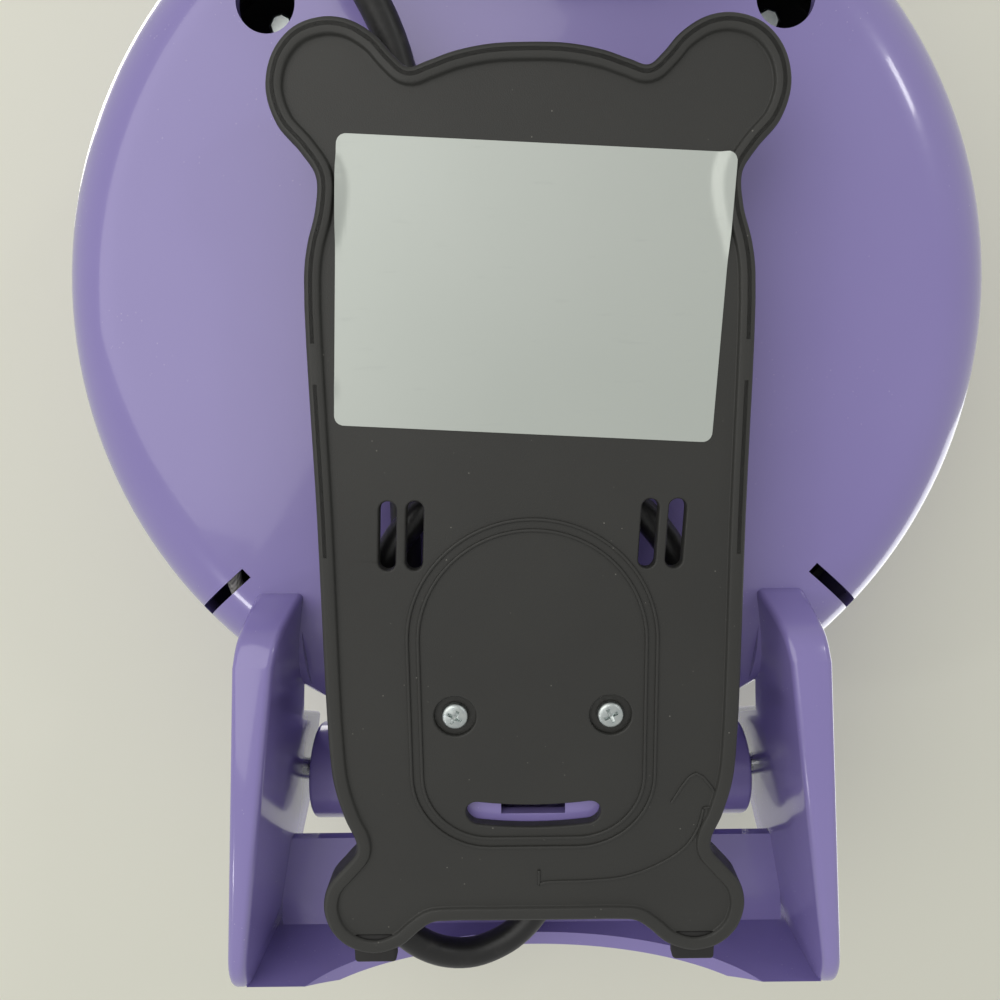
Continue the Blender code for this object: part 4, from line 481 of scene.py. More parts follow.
def moved(bm, offset):
    bmesh.ops.translate(bm, verts=bm.verts, vec=offset)
    return bm


def turned(bm, angle, axis, centre=(0, 0, 0)):
    bmesh.ops.rotate(bm, verts=bm.verts, cent=centre, matrix=Matrix.Rotation(angle, 3, axis))
    return bm


def eased(bm, width, chosen, segments=4):
    """Round the edges that pass a test."""
    bm.normal_update()
    edges = [e for e in bm.edges if chosen(e)]
    bmesh.ops.bevel(bm, geom=edges, offset=width, offset_type="OFFSET", segments=segments, profile=0.5,
                    affect="EDGES", material=-1)
    bmesh.ops.remove_doubles(bm, verts=bm.verts, dist=CLEARANCE / 30)
    return bm


def solid(name, bm):
    """An object for a bmesh that was made about the bowl's own axis."""
    bmesh.ops.translate(bm, verts=bm.verts, vec=(0, AXIS_Y, 0))
    if bm.calc_volume(signed=True) < 0:
        bmesh.ops.reverse_faces(bm, faces=bm.faces)
    mesh = bpy.data.meshes.new(name)
    bm.to_mesh(mesh)
    bm.free()
    made = bpy.data.objects.new(name, mesh)
    bpy.context.scene.collection.objects.link(made)
    return made


def carve(target, bm, operation="DIFFERENCE"):
    """Cut a shape from a piece, or join it on, and keep the result as its mesh."""
    tool = solid("tool", bm)
    step = target.modifiers.new("cut", "BOOLEAN")
    step.operation = operation
    step.solver = "EXACT"
    step.object = tool
    settle(target)
    bpy.data.objects.remove(tool, do_unlink=True)


def settle(target):
    """Turn a piece's modifiers into its mesh."""
    shown = target.evaluated_get(bpy.context.evaluated_depsgraph_get())
    made = bpy.data.meshes.new_from_object(shown)
    target.modifiers.clear()
    old = target.data
    target.data = made
    bpy.data.meshes.remove(old)


def soften(target, width, segments=3, angle=38.0):
    """Ease every edge sharper than an angle."""
    step = target.modifiers.new("eased", "BEVEL")
    step.limit_method = "ANGLE"
    step.angle_limit = radians(angle)
    step.width = width
    step.segments = segments
    step.use_clamp_overlap = True
    step.harden_normals = False


def shade(target, angle=35.0):
    mesh = target.data
    mesh.shade_smooth()
    mesh.set_sharp_from_angle(angle=radians(angle))


def dress(target, slot, body, *nodes, angle=35.0):
    """Give a finished piece its finish and its body, and let it stand for CAD nodes."""
    if target.type == "MESH":
        shade(target, angle)
    target.data.materials.clear()
    target.data.materials.append(FINISHES[slot])
    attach(target, body)
    if nodes:
        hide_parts(*nodes)
    return target


# Bowl, legs and core, with the sizes of the solids
BOWL_RADIUS = 0.116
LEG_EASE = 0.0016
CORE_WINDOW_REACH = 0.012
BOSS_RADIUS = 0.0045
BOSS_RISE = 0.011
SHELL_EASE = 0.0006
BOWL_CORNER = 0.020
BOWL_CROWN = 0.002
BOWL_BOTTOM = 0.0225
REAR_FLAT = 0.1135
CREASE_REACH = 0.071
CREASE_END = 0.100
CREASE_RISE = 0.0105
LEG_FRONT = 0.067
LEG_REAR = 0.170
LEG_BOTTOM = 0.0045
LEG_NOSE_RISE = 0.019
LEG_NOSE_RUN = 0.012
LEG_HEEL = 0.016
LEG_INNER = 0.0605
LEG_OUTER = 0.0692
LEG_SPREAD_START = 0.086
LEG_TOP_LAND = 0.138
LEG_INNER_SPREAD_SHARE, LEG_INNER_DRAFT_SHARE = 0.15, -0.03
LEG_OUTER_SPREAD_SHARE, LEG_OUTER_DRAFT_SHARE = 0.085, 0.05
BACK_WALL = 0.004
BACK_TOP = 0.046
SKIRT_FRONT = 0.1425
SKIRT_FRONT_HEIGHT = 0.0365
SKIRT_REAR_HEIGHT = 0.0315
ARCH_HALF_WIDTH = 0.062
ARCH_TOP = 0.028
CORE_HALF_WIDTH = 0.026
CORE_FRONT = 0.046
CORE_REAR = 0.120
CORE_REAR_CORNER = 0.016
CORE_BOTTOM = 0.0038
CORE_WINDOW = 0.015
VENT_INNER, VENT_OUTER, VENT_WIDTH, VENT_ANGLE = 0.094, 0.113, 0.003, 41.0
STUD_RING = 0.090
OUTER_RING, INNER_RING, CAVITY_RADIUS = 0.068, 0.027, 0.0178
STUD_ANGLES = (-50.0, -130.0, 70.0, 110.0)
WELL_RADIUS = 0.0066
WELL_DEPTH = 0.0155
SCREW_HOLE = 0.0018


def core_outline(grow, front_steps=36, corner_steps=12):
    """The cord-wrap core seen from above: round front, straight sides, round rear corners."""
    half = CORE_HALF_WIDTH + grow
    corner = CORE_REAR_CORNER + grow
    middle = CORE_FRONT + CORE_HALF_WIDTH
    inset = CORE_HALF_WIDTH - CORE_REAR_CORNER
    rear = CORE_REAR - CORE_REAR_CORNER
    return (arc((0, middle), half, 180, 360, front_steps) + arc((inset, rear), corner, 0, 90, corner_steps)
            + arc((-inset, rear), corner, 90, 180, corner_steps))


def leg_x(y, z, inner):
    """Where a leg's inner or outer face lies at a height and reach."""
    run = y - LEG_SPREAD_START
    if inner:
        return LEG_INNER + LEG_INNER_SPREAD_SHARE * run + LEG_INNER_DRAFT_SHARE * z
    return LEG_OUTER + LEG_OUTER_SPREAD_SHARE * run + LEG_OUTER_DRAFT_SHARE * z


def leg(side):
    """One rear leg with a rounded rim, from the bowl's underside back to the rear edge."""
    top = PARTING_HEIGHT - WALL / 2
    nose = smooth_through([(LEG_FRONT, LEG_BOTTOM + LEG_NOSE_RISE, 0),
                           (LEG_FRONT + LEG_NOSE_RUN * 0.45, LEG_BOTTOM + LEG_NOSE_RISE / 4, 0),
                           (LEG_FRONT + LEG_NOSE_RUN, LEG_BOTTOM, 0)], 6, False)
    heel = arc((LEG_REAR - LEG_HEEL, LEG_BOTTOM + LEG_HEEL), LEG_HEEL, 270, 360, 14)
    shoulder = arc((LEG_REAR - LEG_HEEL, BACK_TOP - LEG_HEEL), LEG_HEEL, 6, 60, 10)
    outline = ([(LEG_FRONT, LEG_BOTTOM + LEG_NOSE_RISE + OVERRUN)] + [(p.x, p.y) for p in nose] + heel
               + shoulder
               + [(LEG_TOP_LAND, top), (BOWL_RADIUS - WALL, top),
                  (BOWL_RADIUS * 0.9, PARTING_HEIGHT - BOWL_CORNER)])
    bm = prism(outline, 0, side)
    for v in bm.verts:
        inner = abs(v.co.z) < 0.5
        y, z = v.co.x, v.co.y
        v.co = (side * leg_x(y, z, inner), y, z)
    bmesh.ops.recalc_face_normals(bm, faces=bm.faces)
    caps = {f for f in bm.faces if len(f.verts) == len(outline)}

    def rim(edge):
        return (any(f in caps for f in edge.link_faces)
                and all(v.co.y > LEG_FRONT - CLEARANCE and v.co.z < top + CLEARANCE for v in edge.verts)
                and (edge.verts[0].co - edge.verts[1].co).length > CLEARANCE)

    return eased(bm, LEG_EASE, rim, 4)


def bowl_profile(inset):
    """The bowl's outside as (radius, height) points, or its inside at a wall's inset."""
    radius = BOWL_RADIUS - inset
    corner = BOWL_CORNER - inset
    bottom = BOWL_BOTTOM + inset
    side = arc((BOWL_RADIUS - BOWL_CORNER, BOWL_BOTTOM + BOWL_CROWN + BOWL_CORNER), corner, -90, 0, 16)
    top = PARTING_HEIGHT + (OVERRUN if inset else 0)
    return [(0, bottom)] + side + [(radius, top), (0, top)]


def crease(lift, front_shift):
    """The wedge that lifts the bowl's underside between the legs."""
    rise = BOWL_BOTTOM + CREASE_RISE
    outline = [(CREASE_REACH - front_shift, 0), (CREASE_REACH - front_shift, BOWL_BOTTOM + lift),
               (CREASE_END - front_shift, rise + lift), (LEG_REAR, rise + lift), (LEG_REAR, 0)]
    half = LEG_INNER - WALL
    return side_prism(outline, -half - lift, half + lift)


def lower_shell():
    """Bowl, core, legs, back wall with its arch, vents and screw wells, in one moulding."""
    piece = solid("lower_shell", spun(bowl_profile(0)))
    carve(piece, block((-LEG_INNER, REAR_FLAT, 0),
                       (LEG_INNER, BOWL_RADIUS + OVERRUN, PARTING_HEIGHT + OVERRUN)))
    carve(piece, crease(0, 0))
    for side in (-1, 1):
        carve(piece, leg(side), "UNION")
    inner_x = leg_x(LEG_REAR - BACK_WALL / 2, LEG_BOTTOM, True) + CLEARANCE
    back = LEG_REAR - BACK_WALL
    outer = LEG_REAR - CLEARANCE
    foot = LEG_BOTTOM + LEG_HEEL / 3
    carve(piece, side_prism([(back, foot), (outer, LEG_HEEL), (outer, BACK_TOP - LEG_HEEL / 2),
                             (back, BACK_TOP - CLEARANCE)], -inner_x, inner_x), "UNION")
    behind = LEG_REAR - BACK_WALL / 2
    carve(piece, side_prism([(SKIRT_FRONT, SKIRT_FRONT_HEIGHT), (behind, SKIRT_REAR_HEIGHT),
                             (behind, SKIRT_REAR_HEIGHT + WALL), (SKIRT_FRONT, SKIRT_FRONT_HEIGHT + WALL)],
                            -inner_x + WALL, inner_x - WALL), "UNION")
    carve(piece, prism(core_outline(0), CORE_BOTTOM, BOWL_BOTTOM + CREASE_RISE), "UNION")
    inside = solid("inside", spun(bowl_profile(WALL)))
    carve(inside, crease(WALL, WALL / 2))
    carve(inside, block((-LEG_INNER, REAR_FLAT - WALL, 0),
                        (LEG_INNER, BOWL_RADIUS + OVERRUN, 2 * PARTING_HEIGHT)))
    step = piece.modifiers.new("cut", "BOOLEAN")
    step.operation = "DIFFERENCE"
    step.solver = "EXACT"
    step.object = inside
    settle(piece)
    bpy.data.objects.remove(inside, do_unlink=True)
    arch = [(ARCH_HALF_WIDTH * x, ARCH_TOP * z) for x, z in arc((0, 0), 1, 0, 180, 60)]
    carve(piece, front_prism([(ARCH_HALF_WIDTH, -LEG_BOTTOM)] + arch + [(-ARCH_HALF_WIDTH, -LEG_BOTTOM)],
                             LEG_REAR - 2 * BACK_WALL, LEG_REAR + OVERRUN))
    floor = CORE_BOTTOM + WALL
    carve(piece, prism(core_outline(-WALL), floor, BOWL_BOTTOM + CREASE_RISE - WALL))
    cuts = [block((-CORE_WINDOW / 2, CORE_REAR - CORE_WINDOW_REACH, 0),
                  (CORE_WINDOW / 2, CORE_REAR - 2 * WALL, floor + WALL))]
    for side in (-1, 1):
        boss = Vector((side * PLATE_SCREW_X, PLATE_SCREW_REACH, 0))
        carve(piece, rod(BOSS_RADIUS, boss + Vector((0, 0, floor - WALL / 2)),
                         boss + Vector((0, 0, floor + BOSS_RISE))), "UNION")
        cuts.append(rod(SCREW_HOLE, boss, boss + Vector((0, 0, floor + BOSS_RISE - WALL))))
        angle = 90 - side * (90 - VENT_ANGLE)
        start, end = polar(VENT_INNER, angle), polar(VENT_OUTER, angle)
        across = (end - start).normalized().cross(Vector((0, 0, 1))) * VENT_WIDTH / 2
        corners = [(p.x, p.y) for p in (start - across, end - across, end + across, start + across)]
        cuts.append(prism(corners, BOWL_BOTTOM - OVERRUN, BOWL_BOTTOM + BOWL_CROWN + BOWL_CORNER))
    for angle in STUD_ANGLES:
        low = polar(STUD_RING, angle, 0)
        cuts.append(rod(WELL_RADIUS, low, polar(STUD_RING, angle, BOWL_BOTTOM + WELL_DEPTH)))
    carve(piece, gathered(cuts))
    soften(piece, SHELL_EASE, 3, 42.0)
    return dress(piece, "purple_gloss", "base", "lower_housing", angle=50.0)


# Base plate, with the sizes of the solid
PAN_HEIGHT = 0.007
PLATE_PANEL = 0.0025
PLATE_RECESS = 0.001
PLATE_RIM = 0.0034
PLATE_HALF_WIDTH = 0.04625
PLATE_FRONT = -0.0556
PLATE_REAR = 0.1489
PLATE_EDGE_SHARES = (
    (0.000, 0.0240), (0.170, 0.0255), (0.320, 0.0318), (0.430, 0.0400), (0.510, 0.0450),
    (0.570, 0.0345), (0.640, 0.0175), (0.745, 0.0035), (0.860, 0.0000), (0.990, 0.0090),
    (1.085, 0.0320), (1.120, 0.0640), (1.080, 0.0960), (0.985, 0.1215), (0.925, 0.1440),
    (0.935, 0.1750), (0.978, 0.2080), (1.000, 0.2400), (1.000, 0.4850), (1.000, 0.7450),
    (0.985, 0.7900), (0.940, 0.8300), (0.892, 0.8580), (0.896, 0.8720), (0.960, 0.8900),
    (1.045, 0.9140), (1.072, 0.9420), (1.035, 0.9720), (0.940, 0.9930), (0.810, 1.0000),
    (0.680, 0.9900), (0.590, 0.9720), (0.520, 0.9610), (0.430, 0.9590), (0.200, 0.9590),
)
BEAD_MARGIN = 0.0022
BEAD_WIDTH = 0.0024
BEAD_HEIGHT = 0.0005
BEAD_LINE_WIDTH = 0.0008
SLOT_LENGTH, SLOT_WIDTH, SLOT_REACH, SLOT_SMILE = 0.031, 0.0055, 0.1135, 0.0006
GRILLE_INNER, GRILLE_PITCH, GRILLE_REACH = 0.0254, 0.0059, 0.0477
GRILLE_LENGTH, GRILLE_WIDTH, GRILLE_TURN = 0.0153, 0.0037, 3.0
PLATE_SCREW_X, PLATE_SCREW_REACH = 0.0176, 0.0894
COUNTERBORE_RADIUS = 0.0047
SCREW_HEAD_RADIUS, SCREW_HEAD_HEIGHT, SCREW_SHANK_RADIUS = 0.00315, 0.0016, 0.0015
PLATE_SCREW_LENGTH = 0.012
NUB_WIDTH, NUB_DEPTH, NUB_PROUD, NUB_HEIGHT, NUB_X = 0.010, 0.0075, 0.003, 0.0036, 0.038
LABEL_WIDTH, LABEL_DEPTH, LABEL_REACH, LABEL_TURN = 0.080, 0.058, -0.0032, 3.2
LABEL_THICKNESS, LABEL_CORNER = 0.00022, 0.002


def round_outline(points, steps):
    """A closed smooth curve through unevenly spaced points that doesn't overshoot between them."""
    points = [Vector(p) for p in points]
    count = len(points)
    result = []
    for i in range(count):
        a, b, c, d = (points[(i + k) % count] for k in (-1, 0, 1, 2))
        tb = sqrt((b - a).length)
        tc = tb + sqrt((c - b).length)
        td = tc + sqrt((d - c).length)
        for k in range(steps):
            t = tb + (tc - tb) * k / steps
            first = a.lerp(b, t / tb)
            middle = b.lerp(c, (t - tb) / (tc - tb))
            last = c.lerp(d, (t - tc) / (td - tc))
            low = first.lerp(middle, t / tc)
            high = middle.lerp(last, (t - tb) / (td - tb))
            result.append(low.lerp(high, (t - tb) / (tc - tb)))
    return result


def plate_outline(inset=0.0, steps=6):
    """The base plate's outline with its four round lobes, moved inwards by an inset."""
    length = PLATE_REAR - PLATE_FRONT
    right = [(x * PLATE_HALF_WIDTH, PLATE_FRONT + y * length, 0) for x, y in PLATE_EDGE_SHARES]
    middle_rear = (0, right[-1][1], 0)
    left = [(-x, y, 0) for x, y, _ in reversed(right[1:])]
    curve = round_outline(right + [middle_rear] + left, steps)
    result = []
    for i, p in enumerate(curve):
        way = (curve[(i + 1) % len(curve)] - curve[i - 1]).normalized()
        result.append((p.x - way.y * inset, p.y + way.x * inset))
    return result


def stacked(rings):
    """A closed skin over loops of equal length, given as lists of (x, y, z)."""
    bm = bmesh.new()
    loops = [[bm.verts.new(p) for p in ring] for ring in rings]
    for below, above in zip(loops, loops[1:]):
        for i in range(len(below)):
            bm.faces.new((below[i - 1], below[i], above[i], above[i - 1]))
    ends = [bm.faces.new(loops[0]), bm.faces.new(loops[-1])]
    bmesh.ops.triangulate(bm, faces=ends)
    bmesh.ops.recalc_face_normals(bm, faces=bm.faces)
    return bm


def base_pan():
    """The pan: rounded rim, recessed face, inner wall, vents, slot and counterbores, with eased mouths."""
    edge, lip = 0.0011, 0.0008
    rings = [(WALL + lip, PLATE_RECESS + PLATE_PANEL), (WALL, PLATE_RECESS + PLATE_PANEL),
             (WALL, PAN_HEIGHT - CLEARANCE), (WALL - CLEARANCE, PAN_HEIGHT),
             (CLEARANCE, PAN_HEIGHT), (0, PAN_HEIGHT - CLEARANCE)]
    rings += [(edge * (1 - cos(radians(a))), edge * (1 - sin(radians(a)))) for a in (0, 20, 40, 60, 80, 90)]
    rings += [(PLATE_RIM - lip - edge * 0.6, 0.0)]
    rings += [(PLATE_RIM - lip + lip * sin(radians(a)), lip * (1 - cos(radians(a)))) for a in (25, 50, 75)]
    rings += [(PLATE_RIM + CLEARANCE / 3, PLATE_RECESS - CLEARANCE / 3),
              (PLATE_RIM + CLEARANCE, PLATE_RECESS), (PLATE_RIM + CLEARANCE + lip, PLATE_RECESS)]
    piece = solid("base_pan", stacked([[(x, y, z) for x, y in plate_outline(inset)] for inset, z in rings]))
    slot = flared_slot(SLOT_LENGTH, SLOT_WIDTH)
    for v in slot.verts:
        v.co.y -= SLOT_SMILE * (v.co.x / (SLOT_LENGTH / 2)) ** 2 * 2
    cuts = [moved(slot, (0, SLOT_REACH + SLOT_SMILE, 0))]
    for side in (-1, 1):
        for step in range(2):
            spot = Vector((side * (GRILLE_INNER + step * GRILLE_PITCH), GRILLE_REACH, 0))
            grille = turned(flared_slot(GRILLE_WIDTH, GRILLE_LENGTH), radians(GRILLE_TURN), "Z")
            cuts.append(moved(grille, spot))
    bore = [(0, FLARE[0][1])] + [(COUNTERBORE_RADIUS + grow, height) for grow, height in FLARE[:-1]]
    bore += [(COUNTERBORE_RADIUS, PLATE_RECESS + PLATE_PANEL / 2),
             (SCREW_HOLE, PLATE_RECESS + PLATE_PANEL / 2), (SCREW_HOLE, PAN_HEIGHT), (0, PAN_HEIGHT)]
    for side in (-1, 1):
        cuts.append(moved(spun(bore, 56), (side * PLATE_SCREW_X, PLATE_SCREW_REACH, 0)))
    half = NUB_WIDTH / 2 + CLEARANCE
    low = PLATE_RECESS - CLEARANCE
    for side in (-1, 1):
        cuts.append(block((side * NUB_X - half, PLATE_REAR + NUB_PROUD - NUB_DEPTH - CLEARANCE, low),
                          (side * NUB_X + half, PLATE_REAR + OVERRUN, low + NUB_HEIGHT + 2 * CLEARANCE)))
    for cut in cuts:
        carve(piece, cut)
    dress(piece, "black_matt", "base", "base_plate", angle=50.0)
    even = piece.modifiers.new("even", "WEIGHTED_NORMAL")
    even.keep_sharp = True
    settle(piece)


def capsule(length_x, length_y, steps=14):
    """Outline of a slot with round ends, about its own middle."""
    if length_x > length_y:
        half = (length_x - length_y) / 2
        spans = 8
        lower = [(-half + 2 * half * i / spans, -length_y / 2) for i in range(1, spans)]
        upper = [(half - 2 * half * i / spans, length_y / 2) for i in range(1, spans)]
        return (arc((half, 0), length_y / 2, -90, 90, steps) + upper
                + arc((-half, 0), length_y / 2, 90, 270, steps) + lower)
    half = (length_y - length_x) / 2
    return arc((0, half), length_x / 2, 0, 180, steps) + arc((0, -half), length_x / 2, 180, 360, steps)


FLARE = ((0.0005, PLATE_RECESS - 0.0003), (0.0005, PLATE_RECESS - 0.00001), (0.00028, PLATE_RECESS + 0.00008),
         (0.0001, PLATE_RECESS + 0.00026), (0.0, PLATE_RECESS + 0.0006), (0.0, PAN_HEIGHT + OVERRUN))


def flared_slot(length_x, length_y):
    """A cutter for a round-ended slot whose mouth on the recessed face is rolled over."""
    return stacked([[(x, y, height) for x, y in capsule(length_x + 2 * grow, length_y + 2 * grow)]
                    for grow, height in FLARE])


def raised_line(name, points, width, height, closed, level=PLATE_RECESS):
    """A soft raised line moulded on the recessed face, along points on that face."""
    path = (smooth_through([(x, y, 0) for x, y in points], 4, closed) if not closed
            else [Vector((x, y, 0)) for x, y in points])
    count = len(path)
    section = [(-0.5, -0.3), (-0.46, 0.55), (-0.28, 0.95), (0.28, 0.95), (0.46, 0.55), (0.5, -0.3)]
    bm = bmesh.new()
    rows = []
    for i, p in enumerate(path):
        ahead = path[(i + 1) % count] if closed or i < count - 1 else p
        behind = path[i - 1] if closed or i > 0 else p
        way = (ahead - behind).normalized()
        side = Vector((-way.y, way.x, 0))
        rows.append([bm.verts.new(p + side * s * width + Vector((0, 0, level - h * height)))
                     for s, h in section])
    for i in range(count if closed else count - 1):
        a, b = rows[i], rows[(i + 1) % count]
        for k in range(len(section)):
            m = (k + 1) % len(section)
            bm.faces.new((a[k], a[m], b[m], b[k]))
    if not closed:
        bm.faces.new(rows[0])
        bm.faces.new(rows[-1])
    bmesh.ops.recalc_face_normals(bm, faces=bm.faces)
    return dress(solid(name, bm), "black_matt", "base", angle=60.0)


# Arrow moulded on the recessed face, and the finer parts that sit on it
ARROW_TICK = ((0.0012, 0.1277), (0.0012, 0.1296), (0.0012, 0.1315))
ARROW_SWEEP = ((0.0012, 0.1315), (0.0035, 0.1308), (0.0125, 0.1306), (0.0211, 0.1297), (0.0289, 0.1267),
               (0.0349, 0.1225), (0.0380, 0.1175), (0.0392, 0.1124))
ARROW_HEAD = ((0.0318, 0.1109), (0.0372, 0.1037), (0.0428, 0.1108), (0.0392, 0.1124))
ARROW_LINE_WIDTH, ARROW_LINE_HEIGHT = 0.0007, 0.00035


def base_lines():
    """The double outline round the core and the arrow that shows which way the cord winds."""
    for name, margin in (("core_bead_outer", BEAD_MARGIN), ("core_bead_inner", BEAD_MARGIN - BEAD_WIDTH)):
        raised_line(name, core_outline(margin - BEAD_LINE_WIDTH / 2, 48, 16), BEAD_LINE_WIDTH, BEAD_HEIGHT,
                    True)
    for name, points in (("arrow_tick", ARROW_TICK), ("arrow_sweep", ARROW_SWEEP),
                         ("arrow_head", ARROW_HEAD)):
        raised_line(name, points, ARROW_LINE_WIDTH, ARROW_LINE_HEIGHT, False)


def label():
    """The bare label: a thin film that lies in the recess and laps up over the rim at its edges."""
    outline = plate_outline()
    steps_x, steps_y = 96, 70
    turn = Matrix.Rotation(radians(LABEL_TURN), 3, "Z")

    def clear_of_edge(x, y):
        return min(sqrt((x - a) ** 2 + (y - b) ** 2) for a, b in outline)

    def height(x, y):
        share = min(max((clear_of_edge(x, y) - PLATE_RIM - FILM_SHORT) / FILM_RUN, 0), 1)
        return PLATE_RECESS * share * share * (3 - 2 * share)

    bm = bmesh.new()
    rows = []
    for j in range(steps_y + 1):
        row = []
        for i in range(steps_x + 1):
            x, y = (i / steps_x - 0.5) * LABEL_WIDTH, (j / steps_y - 0.5) * LABEL_DEPTH
            over_x, over_y = abs(x) - LABEL_WIDTH / 2 + LABEL_CORNER, abs(y) - LABEL_DEPTH / 2 + LABEL_CORNER
            if over_x > 0 and over_y > 0:
                far = sqrt(over_x ** 2 + over_y ** 2)
                pull = max(over_x, over_y) / far
                x -= (over_x - over_x * pull) * (1 if x > 0 else -1)
                y -= (over_y - over_y * pull) * (1 if y > 0 else -1)
            spot = turn @ Vector((x, y, 0))
            spot.y += LABEL_REACH
            near_edge = abs(spot.x) > PLATE_HALF_WIDTH - FILM_EDGE_BAND
            level = height(spot.x, spot.y) if near_edge else PLATE_RECESS
            row.append(bm.verts.new((spot.x, spot.y, level - FILM_SINK)))
        rows.append(row)
    for a, b in zip(rows, rows[1:]):
        for i in range(steps_x):
            bm.faces.new((a[i], a[i + 1], b[i + 1], b[i]))
    back = bmesh.ops.extrude_face_region(bm, geom=list(bm.faces))
    raised = [v for v in back["geom"] if isinstance(v, bmesh.types.BMVert)]
    bmesh.ops.translate(bm, verts=raised, vec=(0, 0, -FILM_THICKNESS))
    bmesh.ops.recalc_face_normals(bm, faces=bm.faces)
    return dress(solid("rating_film", bm), "silver_label", "base", "rating_label", angle=60.0)


def cross_screw(name, spot, low, length, turn, body, *nodes):
    """A pan-head screw: domed head with a worn cross recess, plain shank with a hint of thread."""
    crown = SCREW_HEAD_RADIUS
    profile = [(0, 0)]
    profile += [(crown * 0.72 * t, SCREW_HEAD_HEIGHT * 0.16 * t * t) for t in (0.5, 1.0)]
    profile += [(crown * (0.72 + 0.28 * sin(radians(a))),
                 SCREW_HEAD_HEIGHT * (0.16 + 0.84 * (1 - cos(radians(a)))))
                for a in (25, 50, 75, 90)]
    profile += [(SCREW_SHANK_RADIUS, SCREW_HEAD_HEIGHT)]
    turns = 12
    for i in range(turns):
        z = SCREW_HEAD_HEIGHT + (length - SCREW_HEAD_HEIGHT) * (i + 0.5) / turns
        profile.append((SCREW_SHANK_RADIUS * (0.82 if i % 2 else 1.0), z))
    profile += [(0, length)]
    piece = solid(name, moved(turned(spun(profile, 48), turn, "Z"), (spot[0], spot[1], low)))
    arms = []
    for angle in (0, pi / 2):
        arm = front_prism([(-CROSS_REACH, -OVERRUN), (CROSS_REACH, -OVERRUN), (CROSS_REACH, CROSS_SHOULDER),
                           (CROSS_TIP, CROSS_DEPTH),
                           (-CROSS_TIP, CROSS_DEPTH), (-CROSS_REACH, CROSS_SHOULDER)],
                          -CROSS_HALF_WIDTH, CROSS_HALF_WIDTH)
        arms.append(moved(turned(turned(arm, angle, "Z"), turn, "Z"), (spot[0], spot[1], low)))
    for arm in arms:
        carve(piece, arm)
    soften(piece, SCREW_EASE, 2, 40.0)
    settle(piece)
    return dress(piece, "zinc_plate", body, *nodes)


def nub(side, word):
    """A small rubber foot at a rear lobe, for standing the cooker on its end."""
    low = (side * NUB_X - NUB_WIDTH / 2, PLATE_REAR + NUB_PROUD - NUB_DEPTH, PLATE_RECESS)
    high = (side * NUB_X + NUB_WIDTH / 2, PLATE_REAR + NUB_PROUD, PLATE_RECESS + NUB_HEIGHT)
    piece = solid(f"end_foot_{word}", block(low, high))
    soften(piece, NUB_EASE, 4)
    settle(piece)
    return dress(piece, "black_rubber", "base", f"upright_foot_{word}")


# Supply cord, its exit and its plug
CORD_DIAMETER = 0.007
FILM_SHORT = 0.0004
FILM_RUN = 0.0022
FILM_EDGE_BAND = 0.010
FILM_SINK = 0.00005
FILM_THICKNESS = 0.00012
CROSS_REACH = 0.0017
CROSS_SHOULDER = 0.0004
CROSS_TIP = 0.0007
CROSS_DEPTH = 0.0013
CROSS_HALF_WIDTH = 0.00038
SCREW_EASE = 0.00009
NUB_EASE = 0.0009
STRAIN_COLLAR = 0.0015
STRAIN_ENDS = 0.003
STRAIN_RIB_DEPTH = 0.0005
STRAIN_EASE = 0.0002
PLUG_RIB_DEPTH = 0.0006
PLUG_RIB_START = 0.0003
PLUG_RIB_END = 0.0009
PLUG_RIB_LENGTH = 0.0012
BLADE_EASE = 0.0006
BLADE_HOLE = 0.0012
PLUG_EASE = 0.0003
SLEEVE_RADIUS = 0.0019
CORD_SLACK = 0.0015
STRAIN_LENGTH, STRAIN_RADIUS, STRAIN_TIP_RADIUS, STRAIN_FLANGE = 0.020, 0.0058, 0.0042, 0.0015
CORD_LOOP_POINTS = (
    (0.0028, 0.1445, 0.01855), (0.0018, 0.1490, 0.0183), (-0.0012, 0.1538, 0.0176),
    (-0.0070, 0.1582, 0.0163), (-0.0150, 0.1604, 0.0146), (-0.0230, 0.1590, 0.0131),
    (-0.0300, 0.1545, 0.0119), (-0.0352, 0.1480, 0.0112), (-0.0374, 0.1400, 0.0109),
    (-0.0374, 0.1320, 0.0109),
)
CORD_TAIL_POINTS = (
    (-0.0298, 0.0570, 0.01855), (-0.0298, 0.0400, 0.0186), (-0.0290, 0.0200, 0.0183),
    (-0.0270, 0.0000, 0.0172), (-0.0250, -0.0200, 0.0158), (-0.0250, -0.0400, 0.0142),
    (-0.0285, -0.0560, 0.0118), (-0.0360, -0.0700, 0.0080), (-0.0430, -0.0800, 0.0056),
    (-0.0440, -0.0900, 0.0050), (-0.0380, -0.0980, 0.0052), (-0.0280, -0.0990, 0.0060),
    (-0.0215, -0.0945, 0.0072), (-0.0155, -0.0900, 0.0080), (-0.0083, -0.0900, 0.0080),
)
WINDING_STEPS = 24
WINDING_PITCH = 0.0076
WINDING_START_GAP = 0.0003
WINDING_TURNS = 1.13
PLUG_LENGTH, PLUG_WIDTH, PLUG_HEIGHT, PLUG_X, PLUG_REACH = 0.030, 0.022, 0.0155, 0.006, -0.090
PLUG_NECK_LENGTH, PLUG_NECK_RADIUS, PLUG_ROUND = 0.014, 0.0048, 0.003
BLADE_LENGTH, BLADE_WIDTH, BLADE_THICKNESS, BLADE_PITCH, BLADE_ROOT = 0.016, 0.0063, 0.0015, 0.0127, 0.006
UPPER_LANE = BOWL_BOTTOM - CLEARANCE - CORD_DIAMETER / 2 - CORD_SLACK / 10
LOWER_LANE = PAN_HEIGHT + CLEARANCE + CORD_DIAMETER / 2 + CORD_SLACK / 10
EXIT_X = CORD_LOOP_POINTS[0][0]


